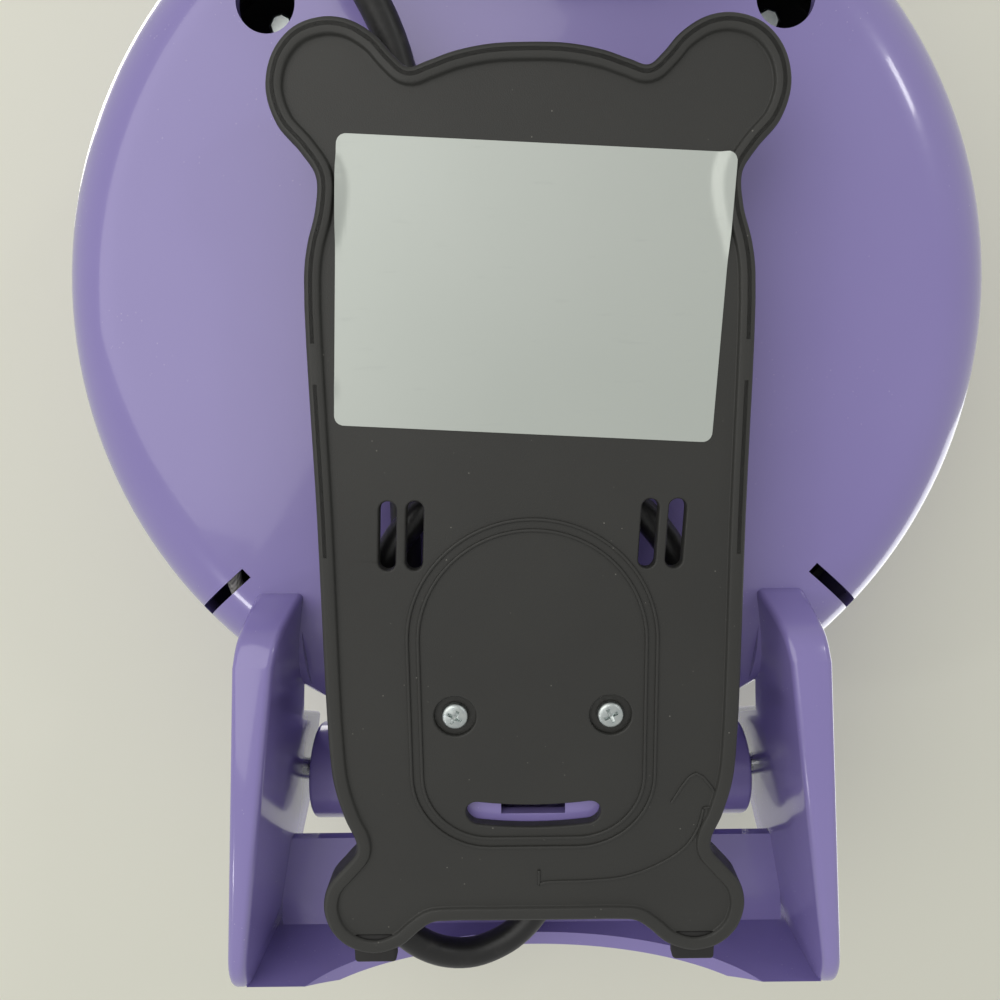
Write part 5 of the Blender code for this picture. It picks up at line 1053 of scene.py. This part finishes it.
def winding():
    """Centre line round the core: outer lane, a change of lane along the rear, inner lane, then a climb."""
    inner_gap = WINDING_START_GAP + CORD_DIAMETER / 2
    outer_gap = inner_gap + WINDING_PITCH
    half = CORE_HALF_WIDTH
    rear = CORE_REAR - CORE_REAR_CORNER
    middle = CORE_FRONT + half
    inset = half - CORE_REAR_CORNER
    mean = (inner_gap + outer_gap) / 2
    turn = pi / 2 * (CORE_REAR_CORNER + mean)
    lengths = (rear - middle, pi * (half + mean), rear - middle, turn, 2 * inset, turn)
    whole = sum(lengths)

    def at(turns):
        along = (turns % 1) * whole
        lane_start = 1 - sum(lengths[3:]) / whole
        share = min(max((turns - lane_start) / (0.97 - lane_start), 0), 1)
        gap = outer_gap - WINDING_PITCH * share * share * (3 - 2 * share)
        climb = min(max((turns - 0.93) / 0.17, 0), 1)
        z = LOWER_LANE + (UPPER_LANE - LOWER_LANE) * climb * climb * (3 - 2 * climb)
        index = 0
        while index < 5 and along > lengths[index]:
            along -= lengths[index]
            index += 1
        part = along / lengths[index]
        if index == 0:
            return Vector((-half - gap, rear - along, z))
        if index == 1:
            a = pi + pi * part
            return Vector(((half + gap) * cos(a), middle + (half + gap) * sin(a), z))
        if index == 2:
            return Vector((half + gap, middle + along, z))
        if index == 4:
            return Vector((inset - along, CORE_REAR + gap, z))
        a = pi / 2 * part + (0 if index == 3 else pi / 2)
        corner = CORE_REAR_CORNER + gap
        return Vector(((inset if index == 3 else -inset) + corner * cos(a), rear + corner * sin(a), z))

    steps = round(WINDING_STEPS * WINDING_TURNS)
    points = [at(WINDING_TURNS * i / steps) for i in range(steps + 1)]
    lead = Vector((0, CORD_DIAMETER, 0))
    return [points[0] + lead] + points + [points[-1] - lead]


def cord_route():
    """The whole cord's centre line, from the strain relief to the plug."""
    coil = winding()
    start = Vector((EXIT_X, CORE_REAR + STRAIN_LENGTH + CLEARANCE, UPPER_LANE))
    along = Vector((0, CORD_DIAMETER, 0))
    end = Vector((PLUG_X - PLUG_NECK_LENGTH - CLEARANCE, PLUG_REACH, PLUG_HEIGHT / 2 + CLEARANCE))
    points = [start] + [Vector(p) for p in CORD_LOOP_POINTS[1:-1]] + [coil[0] + along] + coil
    points += [coil[-1] - along] + [Vector(p) for p in CORD_TAIL_POINTS[1:-1]] + [end]
    return [p + Vector((0, AXIS_Y, 0)) for p in smooth_through(points, 5, False)]


def supply_cord():
    """One black cord: a loop behind the base plate, a turn round the core, and the tail to the plug."""
    route = cord_route()
    curve = bpy.data.curves.new("supply_cord", "CURVE")
    curve.dimensions = "3D"
    curve.bevel_depth = CORD_DIAMETER / 2
    curve.bevel_resolution = 6
    curve.use_fill_caps = True
    spline = curve.splines.new("POLY")
    spline.points.add(len(route) - 1)
    for point, place in zip(spline.points, route):
        point.co = (*place, 1)
    spline.use_smooth = True
    made = bpy.data.objects.new("supply_cord", curve)
    bpy.context.scene.collection.objects.link(made)
    dress(made, "black_cord", "base", "cord_loop", "cord_winding", "cord_tail")
    length = sum((b - a).length for a, b in zip(route, route[1:]))
    return length


def strain_relief():
    """A tapered ribbed sleeve where the cord leaves the core."""
    stem = STRAIN_RADIUS - STRAIN_FLANGE
    profile = [(0, -WALL - STRAIN_FLANGE), (STRAIN_RADIUS, -WALL - STRAIN_FLANGE),
               (STRAIN_RADIUS, -WALL - CLEARANCE), (stem, -WALL - CLEARANCE), (stem, CLEARANCE)]
    ribs = 5
    for i in range(ribs):
        start = STRAIN_COLLAR + (STRAIN_LENGTH - STRAIN_ENDS) * i / ribs
        pitch = (STRAIN_LENGTH - STRAIN_ENDS) / ribs
        radius = stem + (STRAIN_TIP_RADIUS - stem) * i / ribs
        profile += [(radius, start), (radius, start + pitch * 0.6),
                    (radius - STRAIN_RIB_DEPTH, start + pitch * 0.68),
                    (radius - STRAIN_RIB_DEPTH, start + pitch * 0.92)]
    profile += [(STRAIN_TIP_RADIUS, STRAIN_LENGTH - 0.001), (STRAIN_TIP_RADIUS - 0.0004, STRAIN_LENGTH),
                (CORD_DIAMETER / 2 + CLEARANCE / 2, STRAIN_LENGTH), (0, STRAIN_LENGTH)]
    bm = turned(spun(profile, 48), -pi / 2, "X")
    piece = solid("strain_sleeve", moved(bm, (EXIT_X, CORE_REAR, UPPER_LANE)))
    soften(piece, STRAIN_EASE, 2, 50.0)
    settle(piece)
    return dress(piece, "black_rubber", "base", "strain_relief")


def plug():
    """A plain moulded two-blade plug: eased body and grooved neck."""
    axis = Vector((PLUG_X, PLUG_REACH, PLUG_HEIGHT / 2 + CLEARANCE))
    half = Vector((0, PLUG_WIDTH / 2, PLUG_HEIGHT / 2))
    body = solid("plug_moulding", eased(block(axis - half, axis + half + Vector((PLUG_LENGTH, 0, 0))),
                                        PLUG_ROUND, lambda e: True, 5))
    profile = [(0, 0), (PLUG_NECK_RADIUS, 0)]
    for i in range(5):
        x = PLUG_NECK_LENGTH * (0.12 + 0.15 * i)
        radius = PLUG_NECK_RADIUS + (PLUG_HEIGHT * 0.42 - PLUG_NECK_RADIUS) * x / PLUG_NECK_LENGTH
        profile += [(radius, x), (radius - PLUG_RIB_DEPTH, x + PLUG_RIB_START),
                    (radius - PLUG_RIB_DEPTH, x + PLUG_RIB_END), (radius, x + PLUG_RIB_LENGTH)]
    profile += [(PLUG_HEIGHT * 0.42, PLUG_NECK_LENGTH), (PLUG_HEIGHT * 0.42, PLUG_NECK_LENGTH + PLUG_ROUND),
                (0, PLUG_NECK_LENGTH + PLUG_ROUND)]
    carve(body, moved(turned(spun(profile, 48), pi / 2, "Y"), axis - Vector((PLUG_NECK_LENGTH, 0, 0))),
          "UNION")
    blades = []
    for side in (-1, 1):
        y = axis.y + side * BLADE_PITCH / 2
        low = Vector((axis.x + PLUG_LENGTH - BLADE_ROOT, y - BLADE_THICKNESS / 2, axis.z - BLADE_WIDTH / 2))
        high = Vector((axis.x + PLUG_LENGTH + BLADE_LENGTH, y + BLADE_THICKNESS / 2,
                       axis.z + BLADE_WIDTH / 2))
        room = Vector((CLEARANCE, CLEARANCE, CLEARANCE))
        carve(body, block(low - room, high + room + Vector((OVERRUN, 0, 0))))
        blade = block(low, high)
        eased(blade, BLADE_EASE, lambda e: all(v.co.x > high.x - CLEARANCE for v in e.verts), 3)
        blades.append(blade)
    soften(body, PLUG_EASE, 2, 45.0)
    settle(body)
    dress(body, "black_cord", "base", "plug_body")
    pair = solid("plug_blades", gathered(blades))
    for x in (axis.x + PLUG_LENGTH + BLADE_LENGTH * 0.72,):
        carve(pair, rod(BLADE_HOLE, (x, axis.y - PLUG_WIDTH, axis.z), (x, axis.y + PLUG_WIDTH, axis.z), 24))
    return dress(pair, "nickel_brass", "base", "plug_blade_left", "plug_blade_right")


def vent_sleeve():
    """The braided sleeve on a lead that shows inside the left vent."""
    low, high = BOWL_BOTTOM + 0.0075, BOWL_BOTTOM + 0.0115
    places = [polar(0.088, 148, low), polar(0.095, 143, low), polar(0.101, 139, low + 0.001),
              polar(0.105, 134, high), polar(0.104, 128, high)]
    route = smooth_through([p + Vector((0, AXIS_Y, 0)) for p in places], 8, False)
    curve = bpy.data.curves.new("vent_sleeve", "CURVE")
    curve.dimensions = "3D"
    curve.bevel_depth = SLEEVE_RADIUS
    curve.bevel_resolution = 6
    curve.use_fill_caps = True
    spline = curve.splines.new("POLY")
    spline.points.add(len(route) - 1)
    for point, place in zip(spline.points, route):
        point.co = (*place, 1)
    made = bpy.data.objects.new("vent_sleeve", curve)
    bpy.context.scene.collection.objects.link(made)
    dress(made, "glass_sleeve", "base")


# Lid, with the sizes of the solids
LID_TOP = 0.107
GROOVE_DROP = 0.0018
GROOVE_REACH = 0.0009
GROOVE_DEPTH = 0.0007
GROOVE_HALF = 0.0004
RIM_EASE = 0.0006
NECK_EASE = 0.0016
BARREL_EASE = 0.0012
LID_EASE = 0.0005
CASTING_RIM = 0.006
CUP_WALL = 0.0017
GRIP_RIB_START = 0.0075
GRIP_RIB_PITCH = 0.0042
GRIP_RIB_RADIUS = 0.0009
GRIP_EASE = 0.0003
LATCH_BEND = 0.0012
LATCH_TIP_EASE = 0.0006
LATCH_HOOK_EASE = 0.0004
LATCH_ROOT_EASE = 0.0005
LATCH_RIB_START = 0.0085
LATCH_RIB_PITCH = 0.0028
LATCH_RIB_RADIUS = 0.0005
LATCH_EASE = 0.0003
PIN_EASE = 0.0004
LID_SIDE = 0.010
LID_FLAT = 0.62 * BOWL_RADIUS
BAKING_GAP = 0.0005
LID_COLUMN_RADIUS = 0.0062
SCREW_SEAT = 0.003
COLUMN_TOP = BOWL_BOTTOM + 0.52 * (PARTING_HEIGHT - BOWL_BOTTOM)
BARREL_RADIUS = 0.0135
BARREL_END_GAP = 0.0008
HINGE_PIN_RADIUS, HINGE_PIN_GRIP = 0.003, 0.012
HINGE_HEAD_RADIUS, HINGE_HEAD_HEIGHT = 0.0048, 0.0016
NECK_HALF_WIDTH, NECK_START, NECK_HEIGHT = 0.058, 0.094, 0.020
LENS_X, LENS_REACH, LENS_RADIUS, LENS_FLANGE, LENS_DOME, LENS_DEPTH = (0.011, -0.074, 0.0046, 0.0012,
                                                                       0.0022, 0.006)
HANDLE_REACH, HANDLE_HALF_WIDTH, HANDLE_THICKNESS, HANDLE_CORNER = 0.0325, 0.030, 0.014, 0.014
HANDLE_EDGE, HANDLE_ROOT = 0.003, 0.010
FRONT_REACH = BOWL_RADIUS + HANDLE_REACH
LATCH_HALF_WIDTH, LATCH_THICKNESS, LATCH_EYE_RADIUS, LATCH_PIN_RADIUS = 0.0105, 0.0018, 0.003, 0.0014
LATCH_TIP, LATCH_HOOK_GAP, LATCH_EAR = 0.0024, 0.0015, 0.003
HINGE_REACH = HINGE.y - AXIS_Y
HINGE_HEIGHT = HINGE.z
LATCH_REACH = LATCH_PIVOT.y - AXIS_Y
PIVOT_HEIGHT = LATCH_PIVOT.z


def lid_profile(inset):
    """The lid's outside as (radius, height) points, with a soft step round its rim, or its inside."""
    radius = BOWL_RADIUS - inset
    low = PARTING_HEIGHT + BAKING_GAP - (OVERRUN if inset else 0)
    crown = LID_TOP - inset
    side = PARTING_HEIGHT + LID_SIDE
    curve = []
    steps = 40
    for i in range(steps + 1):
        a = pi / 2 * i / steps
        curve.append((LID_FLAT + (radius - LID_FLAT) * cos(a), side + (crown - BOWL_CROWN - side) * sin(a)))
    rim = [(radius, low)]
    if not inset:
        groove = side - GROOVE_DROP
        rim = [(radius - RIM_EASE, low), (radius, low + RIM_EASE), (radius, groove - GROOVE_REACH),
               (radius - GROOVE_DEPTH, groove - GROOVE_HALF),
               (radius - GROOVE_DEPTH, groove + GROOVE_HALF), (radius, groove + GROOVE_REACH)]
    return [(0, low)] + rim + curve + [(0, crown)]


def crown_height(reach):
    """The crown's outer height at a radius."""
    if reach <= LID_FLAT:
        return LID_TOP - BOWL_CROWN * reach / LID_FLAT
    share = (reach - LID_FLAT) / (BOWL_RADIUS - LID_FLAT)
    side = PARTING_HEIGHT + LID_SIDE
    return side + (LID_TOP - BOWL_CROWN - side) * sqrt(1 - share * share)


def barrel_half_length():
    return leg_x(HINGE_REACH - BARREL_RADIUS, HINGE_HEIGHT + BARREL_RADIUS, True) - BARREL_END_GAP


def upper_shell():
    """The lid's shell with its neck, hinge barrel, screw columns and lamp holes."""
    piece = solid("upper_shell", spun(lid_profile(0)))
    low = PARTING_HEIGHT + BAKING_GAP
    barrel_top = HINGE_HEIGHT + BARREL_RADIUS
    neck = smooth_through([(HINGE_REACH + BARREL_RADIUS / 4, barrel_top - CLEARANCE * 2, 0),
                           (HINGE_REACH - BARREL_RADIUS / 2, barrel_top + BARREL_RADIUS / 4, 0),
                           (BOWL_RADIUS - WALL, low + NECK_HEIGHT * 0.55, 0),
                           (NECK_START, low + NECK_HEIGHT, 0)],
                          8, False)
    neck = [(NECK_START, low), (HINGE_REACH - BARREL_RADIUS / 2, low), (HINGE_REACH, HINGE_HEIGHT)] + [
        (p.x, p.y) for p in neck]
    tongue = eased(side_prism(neck, -NECK_HALF_WIDTH, NECK_HALF_WIDTH), NECK_EASE,
                   lambda e: abs(e.verts[0].co.x - e.verts[1].co.x) < CLEARANCE
                   and all(v.co.y > NECK_START + CLEARANCE and v.co.z > low + CLEARANCE for v in e.verts), 4)
    carve(piece, tongue, "UNION")
    half = barrel_half_length()
    barrel = eased(rod(BARREL_RADIUS, (-half, HINGE_REACH, HINGE_HEIGHT), (half, HINGE_REACH, HINGE_HEIGHT),
                       96),
                   BARREL_EASE, lambda e: abs(e.verts[0].co.x - e.verts[1].co.x) < CLEARANCE, 4)
    carve(piece, barrel, "UNION")
    carve(piece, spun(lid_profile(WALL)))
    for angle in STUD_ANGLES:
        foot = 2 * PARTING_HEIGHT + BAKING_GAP - COLUMN_TOP
        roof = crown_height(STUD_RING + LID_COLUMN_RADIUS) - WALL / 2
        carve(piece, rod(LID_COLUMN_RADIUS, polar(STUD_RING, angle, foot), polar(STUD_RING, angle, roof)),
              "UNION")
        carve(piece, rod(SCREW_HEAD_RADIUS + CLEARANCE, polar(STUD_RING, angle, foot + SCREW_SEAT),
                         polar(STUD_RING, angle, roof - 2 * WALL)))
        carve(piece, rod(SCREW_HOLE, polar(STUD_RING, angle, foot - OVERRUN),
                         polar(STUD_RING, angle, foot + SCREW_SEAT + CLEARANCE)))
    cuts = []
    for side in (-1, 1):
        cuts.append(rod(HINGE_PIN_RADIUS + CLEARANCE,
                        (side * (half - HINGE_PIN_GRIP), HINGE_REACH, HINGE_HEIGHT),
                        (side * (half + OVERRUN), HINGE_REACH, HINGE_HEIGHT)))
        cuts.append(rod(LENS_RADIUS - LENS_FLANGE, (side * LENS_X, LENS_REACH, LID_TOP - BARREL_RADIUS),
                        (side * LENS_X, LENS_REACH, LID_TOP + OVERRUN)))
    carve(piece, gathered(cuts))
    soften(piece, LID_EASE, 3, 45.0)
    settle(piece)
    return dress(piece, "purple_gloss", "lid", "upper_housing", angle=50.0)


def baking_plate(name, node, body, upper):
    """A coated casting: twelve half-ball cavities with rolled rims, cups behind them, and a flange."""
    face = PARTING_HEIGHT
    radius = PLATE_RADIUS
    skin = 0.002
    profile = [(0, face - skin), (radius - skin, face - skin), (radius - skin, face - CASTING_RIM),
               (radius, face - CASTING_RIM),
               (radius, face - 0.0012), (radius - 0.0004, face - 0.0004), (radius - 0.0012, face),
               (radius - 0.0050, face), (radius - 0.0056, face - 0.0007), (radius - 0.0072, face - 0.0007),
               (radius - 0.0078, face), (0, face)]
    spots = ([polar(OUTER_RING, 90 + 40 * i) for i in range(9)]
             + [polar(INNER_RING, 90 + 120 * i) for i in range(3)])

    def ball(spot, size, top):
        steps = 14
        points = [(size * sin(pi / 2 * i / steps), -size * cos(pi / 2 * i / steps)) for i in range(steps)]
        if top > 0:
            lip = 0.0008
            points += [(size, -lip), (size + lip * 0.3, -lip * 0.3), (size + lip, 0.00001),
                       (size + lip, top), (0, top)]
        else:
            points += [(sqrt(size * size - top * top), top), (0, top)]
        return moved(spun(points, 56), spot + Vector((0, 0, face)))

    piece = spun(profile, 128)
    cups = gathered([ball(spot, CAVITY_RADIUS + CUP_WALL, -skin / 2) for spot in spots])
    hollows = gathered([ball(spot, CAVITY_RADIUS, OVERRUN) for spot in spots])
    if upper:
        middle = (0, 0, PARTING_HEIGHT + BAKING_GAP / 2)
        for bm in (piece, cups, hollows):
            turned(bm, pi, "Y", middle)
    piece = solid(name, piece)
    carve(piece, cups, "UNION")
    carve(piece, hollows)
    return dress(piece, "nonstick_black", body, node, angle=40.0)


def handle(name, low, high):
    """A moulded tongue with rolled edges and a shallow grip on its outer side."""
    half, corner = HANDLE_HALF_WIDTH, HANDLE_CORNER
    front, root = -FRONT_REACH, -BOWL_RADIUS + HANDLE_ROOT
    outline = ([(-half, root)] + arc((-half + corner, front + corner), corner, 180, 270, 16)
               + arc((half - corner, front + corner), corner, 270, 360, 16) + [(half, root)])
    tongue = eased(prism(outline, low, high), HANDLE_EDGE * 0.95,
                   lambda e: abs(e.verts[0].co.z - e.verts[1].co.z) < CLEARANCE
                   and not all(v.co.y > root - CLEARANCE for v in e.verts), 6)
    piece = solid(name, tongue)
    outer = low if high <= PARTING_HEIGHT + CLEARANCE else high
    for i in range(4):
        y = front + GRIP_RIB_START + GRIP_RIB_PITCH * i
        carve(piece, rod(GRIP_RIB_RADIUS, (-half * 0.55, y, outer), (half * 0.55, y, outer), 16))
    return piece


def handles():
    """The lower grip, and the upper one with the ears that carry the latch."""
    hub = [(0, -OVERRUN), (BOWL_RADIUS + CLEARANCE, -OVERRUN), (BOWL_RADIUS + CLEARANCE, 2 * LID_TOP),
           (0, 2 * LID_TOP)]
    lower = handle("lower_grip", PARTING_HEIGHT - HANDLE_THICKNESS, PARTING_HEIGHT)
    carve(lower, spun(hub))
    dress(lower, "black_grip", "base", "lower_handle", angle=45.0)
    low = PARTING_HEIGHT + BAKING_GAP
    upper = handle("upper_grip", low, low + HANDLE_THICKNESS)
    for side in (-1, 1):
        x = side * (LATCH_HALF_WIDTH + CLEARANCE)
        pad = [(-FRONT_REACH + HANDLE_EDGE + LATCH_EAR, PIVOT_HEIGHT - LATCH_EYE_RADIUS),
               (-FRONT_REACH + HANDLE_EDGE + LATCH_EAR, PIVOT_HEIGHT + LATCH_EYE_RADIUS)]
        ear = side_prism(arc((LATCH_REACH, PIVOT_HEIGHT), LATCH_EYE_RADIUS, 90, 270, 20) + pad,
                         min(x, x + side * LATCH_EAR), max(x, x + side * LATCH_EAR))
        carve(upper, ear, "UNION")
    carve(upper, spun(hub))
    reach = LATCH_HALF_WIDTH + LATCH_EAR + OVERRUN
    carve(upper, rod(LATCH_PIN_RADIUS + CLEARANCE, (-reach, LATCH_REACH, PIVOT_HEIGHT),
                     (reach, LATCH_REACH, PIVOT_HEIGHT)))
    soften(upper, GRIP_EASE, 2, 50.0)
    settle(upper)
    dress(upper, "black_grip", "lid", "upper_handle", angle=45.0)


def latch_clip():
    """The hook clip: a curved tongue with three ribs and a knuckle on the pin."""
    pivot = Vector((0, LATCH_REACH, PIVOT_HEIGHT))
    drop = PIVOT_HEIGHT - (PARTING_HEIGHT - HANDLE_THICKNESS) + LATCH_HOOK_GAP
    front = -LATCH_EYE_RADIUS
    back = front + LATCH_THICKNESS
    low = -drop - LATCH_THICKNESS
    outline = ([(front, 0), (front, low + LATCH_BEND)]
               + arc((front + LATCH_BEND, low + LATCH_BEND), LATCH_BEND, 180, 270, 6)
               + [(LATCH_TIP - LATCH_TIP_EASE, low), (LATCH_TIP, low + LATCH_TIP_EASE),
                  (LATCH_TIP, -drop - LATCH_HOOK_EASE),
                  (LATCH_TIP - LATCH_HOOK_EASE, -drop), (back + LATCH_ROOT_EASE, -drop),
                  (back, -drop + LATCH_ROOT_EASE), (back, 0)])
    clip = solid("latch_clip", moved(side_prism(outline, -LATCH_HALF_WIDTH, LATCH_HALF_WIDTH), pivot))
    carve(clip, rod(LATCH_EYE_RADIUS, pivot - Vector((LATCH_HALF_WIDTH, 0, 0)),
                    pivot + Vector((LATCH_HALF_WIDTH, 0, 0)), 64),
          "UNION")
    reach = Vector((LATCH_HALF_WIDTH + OVERRUN, 0, 0))
    carve(clip, rod(LATCH_PIN_RADIUS + CLEARANCE, pivot - reach, pivot + reach))
    for i in range(4):
        z = PIVOT_HEIGHT - LATCH_RIB_START - LATCH_RIB_PITCH * i
        carve(clip, rod(LATCH_RIB_RADIUS, (-LATCH_HALF_WIDTH * 0.8, LATCH_REACH + front, z),
                        (LATCH_HALF_WIDTH * 0.8, LATCH_REACH + front, z), 12))
    soften(clip, LATCH_EASE, 2, 50.0)
    settle(clip)
    return dress(clip, "black_grip", "latch", "latch", angle=45.0)


def lenses():
    """Two tinted domes in the crown, each with a flange and an eased edge."""
    for side, word in ((-1, "power"), (1, "ready")):
        reach = sqrt(LENS_X * LENS_X + LENS_REACH * LENS_REACH)
        top = crown_height(reach - LENS_RADIUS) + CLEARANCE
        stem = LENS_RADIUS - LENS_FLANGE - CLEARANCE
        dome = [(LENS_RADIUS * cos(radians(a)),
                 top + LENS_FLANGE / 2 + (LENS_DOME - LENS_FLANGE / 2) * sin(radians(a)))
                for a in (0, 15, 30, 45, 60, 75)]
        profile = [(0, top - LENS_DEPTH), (stem, top - LENS_DEPTH), (stem, top), (LENS_RADIUS, top)] + dome
        piece = solid(f"{word}_dome", moved(spun(profile + [(0, top + LENS_DOME)], 56),
                                            (side * LENS_X, LENS_REACH, 0)))
        dress(piece, "red_lens" if side < 0 else "green_lens", "lid", f"{word}_lens")


def hinge_pins():
    """A domed pin through each leg into the barrel."""
    outer = leg_x(HINGE_REACH, HINGE_HEIGHT + HINGE_HEAD_RADIUS, False) + CLEARANCE
    inner = barrel_half_length() - HINGE_PIN_GRIP
    seat, crown = outer - inner, outer - inner + HINGE_HEAD_HEIGHT
    dome = [(HINGE_HEAD_RADIUS * cos(radians(a)), seat + (crown - seat) * (0.35 + 0.65 * sin(radians(a))))
            for a in (0, 20, 40, 60, 75)]
    for side, word in ((-1, "left"), (1, "right")):
        bm = spun([(0, 0), (HINGE_PIN_RADIUS - PIN_EASE, 0), (HINGE_PIN_RADIUS, PIN_EASE),
                   (HINGE_PIN_RADIUS, seat), (HINGE_HEAD_RADIUS, seat)] + dome + [(0, crown)], 56)
        piece = solid(f"pin_{word}", moved(turned(bm, side * pi / 2, "Y"),
                                           (side * inner, HINGE_REACH, HINGE_HEIGHT)))
        dress(piece, "steel_pin", "base", f"hinge_pin_{word}", angle=40.0)


# Stage: a pale floor under the object and another beyond it, each seen from one side only
PAPER = linear(228, 228, 214)
BACKDROP_REACH = 1.6


def one_sided(name, colour, roughness):
    """A pale paper seen only by the camera from the side it faces; all else passes through it."""
    made = bpy.data.materials.new(name)
    made.use_nodes = True
    tree = made.node_tree
    shader = tree.nodes["Principled BSDF"]
    shader.inputs["Base Color"].default_value = colour
    shader.inputs["Roughness"].default_value = roughness
    output = tree.nodes["Material Output"]
    clear = tree.nodes.new("ShaderNodeBsdfTransparent")
    mix = tree.nodes.new("ShaderNodeMixShader")
    ray = tree.nodes.new("ShaderNodeLightPath")
    face = tree.nodes.new("ShaderNodeNewGeometry")
    shown = tree.nodes.new("ShaderNodeMath")
    shown.operation = "SUBTRACT"
    tree.links.new(ray.outputs["Is Camera Ray"], shown.inputs[0])
    tree.links.new(face.outputs["Backfacing"], shown.inputs[1])
    shown.use_clamp = True
    tree.links.new(shown.outputs[0], mix.inputs[0])
    tree.links.new(clear.outputs[0], mix.inputs[1])
    tree.links.new(shader.outputs[0], mix.inputs[2])
    tree.links.new(mix.outputs[0], output.inputs["Surface"])
    return made


def paper(name, height, up):
    """One pale sheet, facing up or down."""
    mesh = bpy.data.meshes.new(name)
    reach = BACKDROP_REACH
    corners = [(-reach, -reach, height), (reach, -reach, height), (reach, reach, height),
               (-reach, reach, height)]
    mesh.from_pydata(corners, [], [(0, 1, 2, 3) if up else (3, 2, 1, 0)])
    made = bpy.data.objects.new(name, mesh)
    bpy.context.scene.collection.objects.link(made)
    made.data.materials.append(one_sided(name, PAPER, 0.6))
    return made


def lamp(name, place, aim, size, power, colour=(1.0, 1.0, 1.0)):
    """A soft square lamp that looks at a point."""
    data = bpy.data.lights.new(name, "AREA")
    data.shape = "RECTANGLE"
    data.size, data.size_y = size
    data.energy = power
    data.color = colour
    made = bpy.data.objects.new(name, data)
    bpy.context.scene.collection.objects.link(made)
    way = Vector(aim) - Vector(place)
    made.rotation_mode = "QUATERNION"
    made.rotation_quaternion = way.to_track_quat("-Z", "Y")
    made.location = place
    return made


def surroundings():
    """Even pale light from all round."""
    world = bpy.data.worlds.new("room")
    world.use_nodes = True
    tree = world.node_tree
    tree.nodes["Background"].inputs["Color"].default_value = (1.0, 1.0, 0.98, 1.0)
    tree.nodes["Background"].inputs["Strength"].default_value = 0.55
    bpy.context.scene.world = world


def set_stage():
    """Papers, lamps and world."""
    made = [paper("table_paper", 0.0, True), paper("far_paper", CAD_HIGH.z + 0.002, False)]
    made += [lamp("soft_below", (-0.55, -0.35, -0.85), (0, 0, 0), (1.2, 1.0), 5.2, (1.0, 0.98, 0.95)),
             lamp("spot_left", (-0.62, 0.55, -0.62), (0, 0, 0.02), (0.10, 0.10), 0.4),
             lamp("spot_right", (0.66, -0.45, -0.60), (0, 0, 0.02), (0.10, 0.10), 0.4),
             lamp("window_above", (-0.6, -0.7, 1.1), (0, 0, 0.05), (0.9, 0.7), 8.0, (1.0, 0.98, 0.96)),
             lamp("fill_above", (0.9, 0.5, 0.8), (0, 0, 0.05), (0.8, 0.8), 2.5, (0.96, 0.98, 1.0))]
    surroundings()


def dress_solids():
    """Give every CAD solid that is still shown its own finish."""
    for part in frame["record"]["subparts"]:
        piece = frame["nodes"][part["node"]]
        for own in piece.material_slots:
            own.link = "OBJECT"
            own.material = FINISHES[part["material_slot"]]


lower_shell()
base_pan()
base_lines()
label()
HEAD_LOW = PLATE_RECESS + PLATE_PANEL / 2 - CLEARANCE - SCREW_HEAD_HEIGHT
for way, word, turn in ((-1, "left", 0.5), (1, "right", 1.1)):
    cross_screw(f"pan_screw_{word}", (way * PLATE_SCREW_X, PLATE_SCREW_REACH), HEAD_LOW, PLATE_SCREW_LENGTH,
                turn, "base", f"base_plate_screw_{word}")
    nub(way, word)
strain_relief()
plug()
supply_cord()
vent_sleeve()
upper_shell()
baking_plate("lower_casting", "lower_baking_plate", "base", False)
baking_plate("upper_casting", "upper_baking_plate", "lid", True)
handles()
latch_clip()
lenses()
hinge_pins()
dress_solids()
set_stage()
camera()
bpy.context.scene.view_settings.view_transform = "Standard"
bpy.context.view_layer.update()
